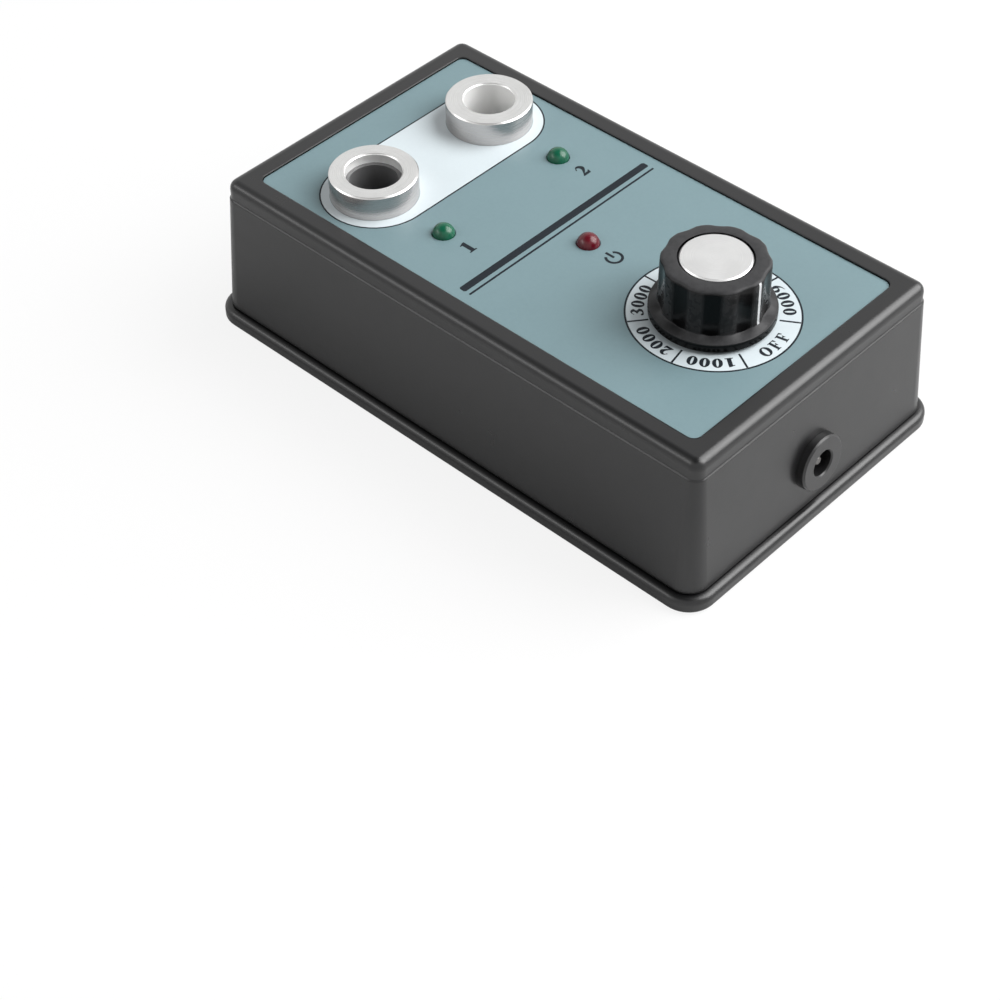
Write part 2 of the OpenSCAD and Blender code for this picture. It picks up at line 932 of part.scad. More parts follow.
// Lamp lens with its flange and domed end
module lamp_lens() {
    translate([0, 0, lamp_z])
        rotate_extrude()
            union() {
                square([lamp_flange_d / 2, lamp_flange_t]);
                square([lamp_d / 2, lamp_body_l - lamp_d / 2]);
                intersection() {
                    translate([0, lamp_body_l - lamp_d / 2])
                        circle(d = lamp_d);
                    square([lamp_d, lamp_body_l]);
                }
            }
}

module left_green_lamp() {
    color("seagreen")
        translate([-green_x, green_y, 0])
            lamp_lens();
}

module right_green_lamp() {
    color("seagreen")
        translate([green_x, green_y, 0])
            lamp_lens();
}

module red_lamp() {
    color("firebrick")
        translate([0, red_y, 0])
            lamp_lens();
}

module at_lamp_wires() {
    at_lamps()
        for (sx = sides)
            translate([sx * lamp_pitch / 2, 0, 0])
                children();
}

module lamp_wires() {
    tail = 1.5;
    color("silver")
        at_lamp_wires()
            translate([0, 0, board_z - tail])
                cylinder(d = lamp_wire_d, h = lamp_z - board_z + tail);
}

// Half profile of the knob's body above the skirt, with its crowned top
module knob_profile() {
    body_r = knob_d / 2;
    top_r = body_r - knob_taper;
    edge_z = knob_h - crown_h;
    polygon([
        [0, skirt_h - eps],
        [body_r, skirt_h - eps],
        [body_r, skirt_h + flare_h],
        [top_r, edge_z - knob_bevel],
        [top_r - knob_bevel, edge_z],
        [cap_d / 2, knob_h],
        [0, knob_h]
    ]);
}

// Skirt and flare, which the flutes run out on
module knob_skirt() {
    rotate_extrude()
        polygon([
            [0, 0],
            [skirt_d / 2, 0],
            [skirt_d / 2, skirt_h - skirt_bevel],
            [skirt_d / 2 - skirt_bevel, skirt_h],
            [flare_foot_r, skirt_h],
            [flare_waist_r, skirt_h + flare_waist_h],
            [flare_top_r, skirt_h + flare_h],
            [0, skirt_h + flare_h]
        ]);
}

module knob_body() {
    color("#151517")
        at_knob()
            difference() {
                translate([0, 0, knob_z])
                    union() {
                        knob_skirt();
                        difference() {
                            rotate_extrude()
                                knob_profile();
                            for (i = [0 : flutes - 1])
                                rotate(90 + 360 * (i + 0.5) / flutes)
                                    translate([flute_axis_r, 0, skirt_h - 2 * eps])
                                        cylinder(r = flute_r, h = knob_h);
                        }
                    }
                translate([0, 0, knob_z - eps])
                    cylinder(d = knob_hollow_d, h = knob_hollow_top - knob_z + eps);
                translate([0, 0, knob_hollow_top - eps])
                    cylinder(d = bush_d + 2 * seat_gap, h = bush_top - knob_hollow_top + eps);
                translate([0, 0, knob_top - cap_t])
                    cylinder(d = cap_d + 2 * cap_groove, h = cap_t + eps);
                translate([0, 0, grub_z])
                    rotate([-90, 0, 0])
                        cylinder(d = grub_d + 2 * seat_gap, h = skirt_d);
            }
}

module knob_cap() {
    edge = 0.3;
    color("whitesmoke")
        at_knob()
            translate([0, 0, knob_top - cap_t])
                rotate_extrude()
                    polygon([
                        [0, 0],
                        [cap_d / 2, 0],
                        [cap_d / 2, cap_t - edge],
                        [cap_d / 2 - edge, cap_t],
                        [0, cap_t]
                    ]);
}

module knob_bush() {
    color("goldenrod")
        at_knob()
            difference() {
                translate([0, 0, knob_hollow_top])
                    tube_ring(bush_d, shaft_d + 2 * seat_gap, bush_top - knob_hollow_top);
                translate([0, 0, grub_z])
                    rotate([-90, 0, 0])
                        cylinder(d = grub_d + 2 * seat_gap, h = bush_d);
            }
}

// Grub screw that bears on the shaft's flat, behind the pointer
module knob_set_screw() {
    start = shaft_d / 2 - flat_depth + seat_gap;
    color("dimgray")
        at_knob()
            translate([0, start, grub_z])
                rotate([-90, 0, 0])
                    difference() {
                        cylinder(d = grub_d, h = grub_l);
                        translate([0, 0, grub_l / 2])
                            cylinder(d = grub_socket_af * 2 / sqrt(3), h = grub_l, $fn = 6);
                    }
}

module pot_shaft() {
    color("lightgray")
        at_knob()
            difference() {
                translate([0, 0, shaft_z])
                    cylinder(d = shaft_d, h = shaft_top - shaft_z);
                translate([-shaft_d / 2, shaft_d / 2 - flat_depth, shaft_top - flat_l])
                    cube([shaft_d, shaft_d, flat_l + eps]);
            }
}

// Disc on the shaft with the wiper that runs round the track
module pot_rotor() {
    rotor_room = 0.5;
    rotor_d = pot_d - 2 * pot_wall - 2 * rotor_room;
    hub_wall = 1.5;
    hub_proud = 1;
    wiper_w = 2;
    wiper_l = 1.4;
    wiper_inset = 2;
    wiper_z = pot_z + pot_wall + stop_gap;
    color("saddlebrown")
        at_knob()
            difference() {
                union() {
                    translate([0, 0, rotor_z])
                        cylinder(d = rotor_d, h = rotor_t);
                    translate([0, 0, rotor_z - hub_proud])
                        cylinder(d = shaft_d + 2 * hub_wall, h = rotor_t + 2 * hub_proud);
                    translate([rotor_d / 2 - wiper_inset, -wiper_w / 2, wiper_z])
                        cube([wiper_l, wiper_w, rotor_z - wiper_z + eps]);
                }
                translate([0, 0, pot_z])
                    cylinder(d = shaft_d + 2 * seat_gap, h = pot_h);
            }
}

module pot_housing() {
    color("lightgray")
        at_knob()
            difference() {
                translate([0, 0, pot_z])
                    cylinder(d = pot_d, h = pot_h);
                translate([0, 0, pot_z + pot_wall])
                    cylinder(d = pot_d - 2 * pot_wall, h = pot_h);
            }
}

module pot_bushing() {
    color("silver")
        at_knob()
            difference() {
                union() {
                    translate([0, 0, ceil_z - pot_plate_t])
                        cylinder(d = pot_d, h = pot_plate_t);
                    translate([0, 0, ceil_z - eps])
                        cylinder(d = bushing_d, h = bushing_top - ceil_z + eps);
                }
                translate([0, 0, ceil_z - pot_plate_t - eps])
                    cylinder(d = shaft_d + 2 * running_gap, h = bushing_top - ceil_z + pot_plate_t + 2 * eps);
            }
}

module pot_washer() {
    color("silver")
        at_knob()
            translate([0, 0, face_z])
                tube_ring(washer_d, bushing_d + 2 * free_gap, washer_t);
}

module pot_nut() {
    color("silver")
        at_knob()
            translate([0, 0, face_z + washer_t])
                hex_nut(pot_nut_af, bushing_d + 2 * seat_gap, pot_nut_t);
}

module pot_switch() {
    color("dimgray")
        at_knob()
            translate([0, 0, switch_z])
                cylinder(d = pot_d, h = switch_h);
}

// Solder tags: three on the housing's side and two under the switch
module pot_tags() {
    color("goldenrod") {
        difference() {
            for (i = [-1 : 1])
                translate([i * pot_tag_pitch - pot_tag_w / 2, knob_y, pot_tag_z])
                    cube([pot_tag_w, pot_d / 2 + pot_tag_l, pot_tag_t]);
            at_knob()
                translate([0, 0, pot_z])
                    cylinder(d = pot_d + 2 * seat_gap, h = pot_h);
        }
        for (sx = sides)
            translate([sx * pot_tag_pitch - pot_tag_w / 2, switch_tag_y, switch_z - pot_tag_l])
                cube([pot_tag_w, pot_tag_t, pot_tag_l]);
    }
}

// Round inlet with a flange on the wall and a threaded barrel behind it
module inlet_body() {
    edge = 0.4;
    mouth = 0.3;
    color("#202022")
        at_inlet()
            difference() {
                rotate_extrude()
                    polygon([
                        [0, -inlet_l],
                        [inlet_d / 2, -inlet_l],
                        [inlet_d / 2, flange_gap],
                        [inlet_flange_d / 2, flange_gap],
                        [inlet_flange_d / 2, inlet_flange_t - edge],
                        [inlet_flange_d / 2 - edge, inlet_flange_t],
                        [inlet_bore / 2 + mouth, inlet_flange_t],
                        [inlet_bore / 2, inlet_flange_t - mouth],
                        [inlet_bore / 2, -inlet_depth],
                        [0, -inlet_depth]
                    ]);
                translate([0, 0, -inlet_l - eps])
                    cylinder(d = inlet_pin_d + 2 * seat_gap, h = inlet_l);
            }
}

module inlet_nut() {
    color("silver")
        at_inlet()
            translate([0, 0, -inlet_wall - inlet_nut_t])
                hex_nut(inlet_nut_af, inlet_d + 2 * seat_gap, inlet_nut_t);
}

module inlet_pin() {
    tip = 0.3;
    color("gainsboro")
        at_inlet()
            rotate_extrude()
                polygon([
                    [0, -inlet_l],
                    [inlet_pin_d / 2, -inlet_l],
                    [inlet_pin_d / 2, inlet_pin_front - tip],
                    [inlet_pin_d / 2 - tip, inlet_pin_front],
                    [0, inlet_pin_front]
                ]);
}

module inlet_tags() {
    tag_w = 2;
    color("goldenrod")
        at_inlet()
            for (sx = sides)
                translate([sx * inlet_tag_x - pot_tag_t / 2, -tag_w / 2, -inlet_l - inlet_tag_l])
                    cube([pot_tag_t, tag_w, inlet_tag_l]);
}

module circuit_board() {
    color("darkgreen")
        difference() {
            translate([0, (board_y0 + board_y1) / 2, board_z])
                rounded_plate(board_w, board_l, board_t, board_r);
            at_posts()
                translate([0, 0, board_z - eps])
                    cylinder(d = board_screw_d + 2 * free_gap, h = board_t + 2 * eps);
            at_lamp_wires()
                translate([0, 0, board_z - eps])
                    cylinder(d = lamp_wire_d + 2 * free_gap, h = board_t + 2 * eps);
        }
}

module board_screws() {
    color("silver")
        at_posts()
            difference() {
                union() {
                    translate([0, 0, board_top])
                        cylinder(d = board_screw_head_d, h = board_screw_head_t);
                    translate([0, 0, board_top - board_screw_l])
                        cylinder(d = board_screw_d, h = board_screw_l);
                }
                translate([0, 0, board_top + board_screw_head_t])
                    mirror([0, 0, 1])
                        cross_recess(board_screw_d, board_screw_head_t / 2);
            }
}

// Potted high voltage transformer with its terminal boss
module coil(sx) {
    rim = 1.2;
    fill_drop = 0.6;
    terminal_wall = 0.8;
    translate([sx * coil_x, coil_y, board_top])
        difference() {
            rounded_plate(coil_w, coil_l, coil_h, coil_r);
            translate([0, 0, coil_h - fill_drop])
                rounded_plate(coil_w - 2 * rim, coil_l - 2 * rim, fill_drop + eps, coil_r - rim);
        }
    translate([sx * coil_terminal_x, coil_terminal_y - eps, coil_terminal_z])
        rotate([-90, 0, 0])
            cylinder(d = hv_lead_d + 2 * terminal_wall, h = coil_terminal_l + eps);
}

module left_coil() {
    color("#2a2a30")
        coil(-1);
}

module right_coil() {
    color("#2a2a30")
        coil(1);
}

// Control chip with a row of pins down each side
module control_chip() {
    stand = 0.6;
    pin_w = 0.5;
    color("#1a1a1a")
        translate([0, chip_y, board_top]) {
            translate([-chip_l / 2, -chip_w / 2, stand])
                cube([chip_l, chip_w, chip_t]);
            for (i = [0 : chip_pins - 1], sy = sides)
                translate([(i - (chip_pins - 1) / 2) * pin_pitch, sy * chip_w / 2, 0])
                    translate([-pin_w / 2, -pin_w / 2, 0])
                        cube([pin_w, pin_w, stand + chip_t / 2]);
        }
}

// Power transistor that stands on its legs against the heat sink
module power_transistors() {
    color("#242424")
        for (sx = sides)
            translate([sx * sink_x, sink_y, board_top])
                mirror([sx > 0 ? 1 : 0, 0, 0]) {
                    translate([0, -transistor_w / 2, leg_h])
                        cube([tab_metal_t, transistor_w, tab_metal_h]);
                    translate([0, -transistor_w / 2, leg_h])
                        cube([transistor_t, transistor_w, transistor_h]);
                    for (i = [-1 : 1])
                        translate([leg_x, i * pin_pitch - leg_w / 2, 0])
                            cube([leg_t, leg_w, leg_h + eps]);
                }
}

// Folded plate behind each power transistor
module heat_sinks() {
    color("lightgray")
        for (sx = sides)
            translate([sx * sink_x, sink_y, board_top])
                mirror([sx > 0 ? 0 : 1, 0, 0])
                    translate([0, -sink_w / 2, 0])
                        difference() {
                            cube([sink_d, sink_w, sink_h]);
                            translate([sink_t, sink_t, -eps])
                                cube([sink_d, sink_w - 2 * sink_t, sink_h + 2 * eps]);
                        }
}

module capacitors() {
    edge = 0.6;
    crimp_z = 2.4;
    crimp_r = 0.6;
    color("midnightblue")
        for (sx = sides)
            translate([sx * capacitor_x, capacitor_y, board_top])
                rotate_extrude()
                    difference() {
                        polygon([
                            [0, 0],
                            [capacitor_d / 2, 0],
                            [capacitor_d / 2, capacitor_h - edge],
                            [capacitor_d / 2 - edge, capacitor_h],
                            [0, capacitor_h]
                        ]);
                        translate([capacitor_d / 2 + crimp_r / 2, crimp_z])
                            circle(crimp_r);
                    }
}

// Leads from the transformers to the contact seats
module hv_leads() {
    color("firebrick")
        for (sx = sides)
            lead(
                [sx * coil_terminal_x, coil_terminal_y + coil_terminal_l, coil_terminal_z],
                [0, hv_leave, 0],
                [sx * socket_x, socket_y - lug_end, tube_z - lug_t / 2],
                [0, hv_arrive, 0],
                hv_lead_d, 10, [0, 0, 1]
            );
}

// Leads from the earth tags down to the board
module earth_leads() {
    tag_mid_z = ceil_z - (tab_h + tag_t) / 2;
    color("black")
        for (sx = sides)
            lead(
                [sx * (socket_x - tab_reach), socket_y, tag_mid_z], [-earth_leave * sx, 0, 0],
                [sx * earth_pad.x, earth_pad.y, board_top], [0, 0, -earth_arrive],
                lead_d, 14, [0, 1, 0.4]
            );
}

// Leads from the potentiometer and its switch down to the board
module pot_leads() {
    color("slategray") {
        for (i = [-1 : 1])
            lead(
                [i * pot_tag_pitch, pot_tag_y + pot_tag_l, pot_tag_z + pot_tag_t / 2],
                [0, pot_leave, 0],
                [i * pot_tag_pitch, pot_pad_y, board_top],
                [0, 0, -pot_arrive],
                lead_d, 10, [1, 0, 0]
            );
        for (sx = sides)
            lead(
                [sx * pot_tag_pitch, switch_tag_y + pot_tag_t / 2, switch_z - pot_tag_l],
                [0, 0, -switch_leave],
                [sx * pot_tag_pitch, switch_tag_y + pot_tag_t / 2, board_top],
                [0, 0, -switch_leave],
                lead_d, 3, [1, 0, 0]
            );
    }
}

// Leads from the inlet's tags down to the board
module inlet_leads() {
    tail = inlet_l + inlet_tag_l;
    end = [0, inlet_y + tail * cos(lean), inlet_z - tail * sin(lean)];
    color("crimson")
        for (sx = sides)
            lead(
                end + [sx * inlet_tag_x, 0, 0], inlet_leave * [0, cos(lean), -sin(lean)],
                [sx * inlet_tag_x, inlet_pad_y, board_top], [0, 0, -inlet_leave],
                lead_d, 6, [1, 0, 0]
            );
}

case_shell();
base_cover();
cover_screws();
face_label();
left_socket_ring();
right_socket_ring();
ring_nuts();
earth_tags();
left_insulator_tube();
right_insulator_tube();
left_contact();
right_contact();
left_contact_spring();
right_contact_spring();
left_contact_seat();
right_contact_seat();
left_green_lamp();
right_green_lamp();
red_lamp();
lamp_wires();
knob_body();
knob_cap();
knob_bush();
knob_set_screw();
pot_shaft();
pot_rotor();
pot_housing();
pot_bushing();
pot_washer();
pot_nut();
pot_switch();
pot_tags();
inlet_body();
inlet_nut();
inlet_pin();
inlet_tags();
circuit_board();
board_screws();
left_coil();
right_coil();
control_chip();
power_transistors();
heat_sinks();
capacitors();
hv_leads();
earth_leads();
pot_leads();
inlet_leads();
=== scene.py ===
"""Spark plug tester: moulded case, printed label, plug sockets, signal lamps, speed knob and power inlet."""
import math

import bmesh
import bpy
from mathutils import Matrix, Vector


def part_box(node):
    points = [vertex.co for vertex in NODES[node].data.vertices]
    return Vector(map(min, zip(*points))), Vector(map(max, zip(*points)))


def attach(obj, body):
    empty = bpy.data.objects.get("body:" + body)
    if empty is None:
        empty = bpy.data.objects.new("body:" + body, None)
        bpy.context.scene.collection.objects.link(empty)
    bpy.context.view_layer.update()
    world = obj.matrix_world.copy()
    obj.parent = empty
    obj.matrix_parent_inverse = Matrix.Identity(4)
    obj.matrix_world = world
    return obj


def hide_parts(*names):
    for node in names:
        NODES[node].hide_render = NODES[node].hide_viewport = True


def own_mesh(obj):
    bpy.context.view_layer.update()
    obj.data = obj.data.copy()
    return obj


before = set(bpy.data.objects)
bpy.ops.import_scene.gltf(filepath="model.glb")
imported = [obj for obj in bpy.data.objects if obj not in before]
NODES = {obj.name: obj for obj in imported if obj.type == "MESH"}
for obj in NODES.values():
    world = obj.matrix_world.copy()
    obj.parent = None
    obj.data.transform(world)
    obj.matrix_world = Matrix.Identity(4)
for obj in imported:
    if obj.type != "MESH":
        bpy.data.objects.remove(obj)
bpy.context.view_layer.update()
MM = 0.001


def middle_of(node):
    """The middle of a node's box as (x, y), in millimetres."""
    low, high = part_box(node)
    return (low.x + high.x) / 2 / MM, (low.y + high.y) / 2 / MM


def half_width(node):
    """Half the width of a node's box along X, in millimetres."""
    low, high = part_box(node)
    return (high.x - low.x) / 2 / MM


# Levels and places on the tester, in millimetres
LABEL_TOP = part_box("face_label")[1].z / MM
SOCKETS = [middle_of("left_socket_ring"), middle_of("right_socket_ring")]
SOCKET_RING_R = half_width("left_socket_ring")
GREEN_LAMPS = [middle_of("left_green_lamp"), middle_of("right_green_lamp")]
RED_LAMP = middle_of("red_lamp")
LAMP_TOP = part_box("red_lamp")[1].z / MM
KNOB_AXIS = middle_of("knob_body")
KNOB_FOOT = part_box("knob_body")[0].z / MM
KNOB_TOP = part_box("knob_cap")[1].z / MM
WASHER_R = half_width("pot_washer")
BORE_R = (6.2, 5.7)
INK = 0.02


# Node groups shared by the finishes

def shader_group(name, inputs, outputs):
    """A shader node group with named sockets; returns its tree, its input node and its output node."""
    tree = bpy.data.node_groups.new(name, "ShaderNodeTree")
    for label, kind, value in inputs:
        socket = tree.interface.new_socket(label, in_out="INPUT", socket_type="NodeSocket" + kind)
        if value is not None:
            socket.default_value = value
    for label, kind in outputs:
        tree.interface.new_socket(label, in_out="OUTPUT", socket_type="NodeSocket" + kind)
    return tree, tree.nodes.new("NodeGroupInput"), tree.nodes.new("NodeGroupOutput")


def put(tree, kind, values=None, **settings):
    """Adds a node, sets its properties, and gives or links its input sockets by name or number."""
    node = tree.nodes.new("ShaderNode" + kind)
    for key, value in settings.items():
        setattr(node, key, value)
    for key, value in (values or {}).items():
        if isinstance(value, bpy.types.NodeSocket):
            tree.links.new(value, node.inputs[key])
        else:
            node.inputs[key].default_value = value
    return node


def times(tree, *masks):
    """The product of several masks."""
    product = masks[0]
    for mask in masks[1:]:
        product = put(tree, "Math", {0: product, 1: mask}, operation="MULTIPLY").outputs[0]
    return product


def tinted(tree, share, first, second):
    """A colour between two, by a mask."""
    return put(tree, "Mix", {0: share, 6: first, 7: second}, data_type="RGBA").outputs[2]


def graded(tree, share, first, second):
    """A value between two, by a mask."""
    return put(tree, "Mix", {0: share, 2: first, 3: second}).outputs[0]


def swung_roughness(tree, noise, given):
    """Roughness that swings with a noise about its middle."""
    centred = put(tree, "Math", {0: noise, 1: 0.5}, operation="SUBTRACT").outputs[0]
    swing = times(tree, centred, given.outputs["Roughness Swing"])
    return put(tree, "Math", {0: swing, 1: given.outputs["Roughness"]}, operation="ADD").outputs[0]


def place_about_axis(tree, vector):
    """Distance from the local Z axis, and height along it."""
    axes = put(tree, "SeparateXYZ", {0: vector})
    flat = put(tree, "CombineXYZ", {0: axes.outputs[0], 1: axes.outputs[1]})
    return put(tree, "VectorMath", {0: flat.outputs[0]}, operation="LENGTH").outputs["Value"], axes.outputs[2]


def looking_up(tree, low, high):
    """Mask from the upward share of a face's normal: 0 at low, 1 at high."""
    normal = put(tree, "SeparateXYZ", {0: put(tree, "NewGeometry").outputs["True Normal"]})
    return put(tree, "MapRange", {"Value": normal.outputs[2], "From Min": low, "From Max": high}).outputs[0]


def give(tree, result, **sockets):
    """Links a group's results to its output node; returns the group's tree."""
    for label, socket in sockets.items():
        tree.links.new(socket, result.inputs[label])
    return tree


def make_moulded_grain():
    """Fine grain over slow mottling, for mouldings, inks, sleeves and plated sheet."""
    tree, given, result = shader_group(
        "moulded_grain",
        [("Vector", "Vector", None), ("Grain Scale", "Float", 3000.0), ("Mottle Scale", "Float", 90.0),
         ("Color", "Color", (0.5, 0.5, 0.5, 1)), ("Mottle Color", "Color", (0.4, 0.4, 0.4, 1)),
         ("Roughness", "Float", 0.5), ("Roughness Swing", "Float", 0.1)],
        [("Color", "Color"), ("Roughness", "Float"), ("Height", "Float")])
    grain = put(tree, "TexNoise", {"Vector": given.outputs["Vector"], "Scale": given.outputs["Grain Scale"],
                                   "Detail": 3.0, "Roughness": 0.6}).outputs["Fac"]
    mottle = put(tree, "TexNoise", {"Vector": given.outputs["Vector"], "Scale": given.outputs["Mottle Scale"],
                                    "Detail": 4.0, "Roughness": 0.65}).outputs["Fac"]
    both = times(tree, grain, mottle)
    share = put(tree, "MapRange", {"Value": both, "From Min": 0.12, "From Max": 0.42}).outputs[0]
    return give(tree, result, Height=grain, Roughness=swung_roughness(tree, mottle, given),
                Color=tinted(tree, share, given.outputs["Color"], given.outputs["Mottle Color"]))


def make_edge_wear():
    """Rubbed edges: where the rounded normal leaves the flat one, broken up by noise."""
    tree, given, result = shader_group(
        "edge_wear",
        [("Vector", "Vector", None), ("Color", "Color", (0.5, 0.5, 0.5, 1)),
         ("Rubbed Color", "Color", (0.7, 0.7, 0.7, 1)), ("Width", "Float", 0.0003), ("Amount", "Float", 0.5)],
        [("Color", "Color")])
    rounded = put(tree, "Bevel", {"Radius": given.outputs["Width"]}, samples=6)
    flat = put(tree, "NewGeometry")
    facing = put(tree, "VectorMath", {0: rounded.outputs[0], 1: flat.outputs["True Normal"]}, operation="DOT_PRODUCT")
    edge = put(tree, "MapRange", {"Value": facing.outputs["Value"], "From Min": 0.995, "From Max": 0.86}).outputs[0]
    noise = put(tree, "TexNoise", {"Vector": given.outputs["Vector"], "Scale": 420.0, "Detail": 5.0})
    broken = put(tree, "MapRange", {"Value": noise.outputs["Fac"], "From Min": 0.38, "From Max": 0.68}).outputs[0]
    mask = times(tree, edge, broken, given.outputs["Amount"])
    return give(tree, result, Color=tinted(tree, mask, given.outputs["Color"], given.outputs["Rubbed Color"]))


def make_lathe_lines():
    """Tool marks of a lathe: fine rings about the local Z axis, on faces and on barrels."""
    tree, given, result = shader_group(
        "lathe_lines",
        [("Vector", "Vector", None), ("Line Scale", "Float", 9000.0), ("Color", "Color", (0.7, 0.7, 0.7, 1)),
         ("Groove Color", "Color", (0.5, 0.5, 0.5, 1)), ("Roughness", "Float", 0.25),
         ("Roughness Swing", "Float", 0.2)],
        [("Color", "Color"), ("Roughness", "Float"), ("Height", "Float")])
    radius, height = place_about_axis(tree, given.outputs["Vector"])
    along = put(tree, "Math", {0: radius, 1: height}, operation="ADD")
    lines = put(tree, "TexNoise", {"W": along.outputs[0], "Scale": given.outputs["Line Scale"],
                                   "Detail": 2.0, "Roughness": 0.7}, noise_dimensions="1D").outputs["Fac"]
    broad = put(tree, "TexNoise", {"Vector": given.outputs["Vector"], "Scale": 160.0, "Detail": 3.0}).outputs["Fac"]
    depth = put(tree, "MapRange", {"Value": times(tree, lines, broad), "From Min": 0.14, "From Max": 0.4}).outputs[0]
    return give(tree, result, Height=lines, Roughness=swung_roughness(tree, lines, given),
                Color=tinted(tree, depth, given.outputs["Groove Color"], given.outputs["Color"]))


def make_ring_zones():
    """Faced top, barrel painted darker as painted shade on its sides, and rough bore painted pale and less metallic
    as painted light, of a ring about the local Z axis.
    """
    tree, given, result = shader_group(
        "ring_zones",
        [("Vector", "Vector", None), ("Color", "Color", (0.8, 0.8, 0.8, 1)),
         ("Barrel Color", "Color", (0.5, 0.5, 0.5, 1)), ("Bore Color", "Color", (0.9, 0.9, 0.9, 1)),
         ("Roughness", "Float", 0.3), ("Bore Roughness", "Float", 0.5), ("Bore Metallic", "Float", 0.4),
         ("Bore Radius", "Float", 0.006)],
        [("Color", "Color"), ("Roughness", "Float"), ("Metallic", "Float")])
    radius = place_about_axis(tree, given.outputs["Vector"])[0]
    bored = put(tree, "Math", {0: radius, 1: given.outputs["Bore Radius"]}, operation="LESS_THAN").outputs[0]
    # Painted shade: faces that turn away from the top get the darker barrel colour.
    painted_shade_outside = tinted(tree, looking_up(tree, 0.35, 0.8), given.outputs["Barrel Color"], given.outputs["Color"])
    # Painted light: the bore is paler and less metallic so that it looks lit inside.
    bore_metal = given.outputs["Bore Metallic"]
    metal = put(tree, "MapRange", {"Value": bored, "To Min": 1.0, "To Max": bore_metal}).outputs[0]
    return give(tree, result, Color=tinted(tree, bored, painted_shade_outside, given.outputs["Bore Color"]), Metallic=metal,
                Roughness=graded(tree, bored, given.outputs["Roughness"], given.outputs["Bore Roughness"]))


def make_settled_dust():
    """Dull film on faces that look up, broken up by noise."""
    tree, given, result = shader_group(
        "settled_dust",
        [("Vector", "Vector", None), ("Color", "Color", (0.01, 0.01, 0.01, 1)),
         ("Dust Color", "Color", (0.05, 0.05, 0.05, 1)), ("Roughness", "Float", 0.2),
         ("Dust Roughness", "Float", 0.5), ("Amount", "Float", 0.8)],
        [("Color", "Color"), ("Roughness", "Float")])
    spot = given.outputs["Vector"]
    noise = put(tree, "TexNoise", {"Vector": spot, "Scale": 900.0, "Detail": 4.0, "Roughness": 0.6})
    spots = put(tree, "MapRange", {"Value": noise.outputs["Fac"], "From Min": 0.25, "From Max": 0.6, "To Min": 0.72})
    share = times(tree, looking_up(tree, 0.2, 0.75), spots.outputs[0], given.outputs["Amount"])
    return give(tree, result, Color=tinted(tree, share, given.outputs["Color"], given.outputs["Dust Color"]),
                Roughness=graded(tree, share, given.outputs["Roughness"], given.outputs["Dust Roughness"]))


def make_painted_rib_highlight():
    """Painted highlight on the lands of a knob's ribs about the local Z axis: paler where they catch light, and
    duller, broken up by noise.
    """
    tree, given, result = shader_group(
        "painted_rib_highlight",
        [("Vector", "Vector", None), ("Color", "Color", (0.01, 0.01, 0.01, 1)),
         ("Land Color", "Color", (0.04, 0.04, 0.04, 1)), ("Roughness", "Float", 0.2),
         ("Land Roughness", "Float", 0.35), ("Flute Radius", "Float", 0.011), ("Land Radius", "Float", 0.0112),
         ("Skirt Radius", "Float", 0.0118), ("Amount", "Float", 0.8)],
        [("Color", "Color"), ("Roughness", "Float")])
    radius = place_about_axis(tree, given.outputs["Vector"])[0]
    land = put(tree, "MapRange", {"Value": radius, "From Min": given.outputs["Flute Radius"],
                                  "From Max": given.outputs["Land Radius"]}).outputs[0]
    above_skirt = put(tree, "Math", {0: radius, 1: given.outputs["Skirt Radius"]}, operation="LESS_THAN").outputs[0]
    noise = put(tree, "TexNoise", {"Vector": given.outputs["Vector"], "Scale": 500.0, "Detail": 4.0})
    broken = put(tree, "MapRange", {"Value": noise.outputs["Fac"], "From Min": 0.3, "From Max": 0.6, "To Min": 0.45})
    # The painted highlight is strongest where a land faces sideways.
    share = times(tree, land, above_skirt, looking_up(tree, 0.5, 0.15), broken.outputs[0], given.outputs["Amount"])
    return give(tree, result, Color=tinted(tree, share, given.outputs["Color"], given.outputs["Land Color"]),
                Roughness=graded(tree, share, given.outputs["Roughness"], given.outputs["Land Roughness"]))


MOULDED_GRAIN = make_moulded_grain()
EDGE_WEAR = make_edge_wear()
LATHE_LINES = make_lathe_lines()
RING_ZONES = make_ring_zones()
SETTLED_DUST = make_settled_dust()
PAINTED_RIB_HIGHLIGHT = make_painted_rib_highlight()


# Finishes

def rgba(colour):
    return (*colour, 1.0)


def shader_of(name, **sockets):
    """A new material's node tree and Principled shader, with plain values on its own sockets."""
    material = bpy.data.materials.new(name)
    material.use_nodes = True
    shader = material.node_tree.nodes["Principled BSDF"]
    for label, value in sockets.items():
        shader.inputs[label.replace("_", " ")].default_value = value
    return material, material.node_tree, shader


def group_node(tree, group, **values):
    """Adds a shared group to a material, and gives or links its named sockets."""
    node = tree.nodes.new("ShaderNodeGroup")
    node.node_tree = group
    for label, value in values.items():
        label = label.replace("_", " ")
        if isinstance(value, bpy.types.NodeSocket):
            tree.links.new(value, node.inputs[label])
        else:
            node.inputs[label].default_value = value
    return node


def object_place(tree, axis=None):
    """Object coordinates, moved so that an upright axis at (x, y), in millimetres, is the pattern's own."""
    spot = put(tree, "TexCoord").outputs["Object"]
    if axis is None:
        return spot
    shift = (-axis[0] * MM, -axis[1] * MM, 0)
    return put(tree, "Mapping", {"Vector": spot, "Location": shift}, vector_type="POINT").outputs[0]


def relief(tree, shader, height, strength, rounding):
    """Bump from a height, over normals that are rounded at the edges."""
    bump = put(tree, "Bump", {"Height": height, "Strength": strength, "Distance": 0.0001})
    if rounding:
        rounded = put(tree, "Bevel", {"Radius": rounding * MM}, samples=6)
        tree.links.new(rounded.outputs[0], bump.inputs["Normal"])
    tree.links.new(bump.outputs[0], shader.inputs["Normal"])


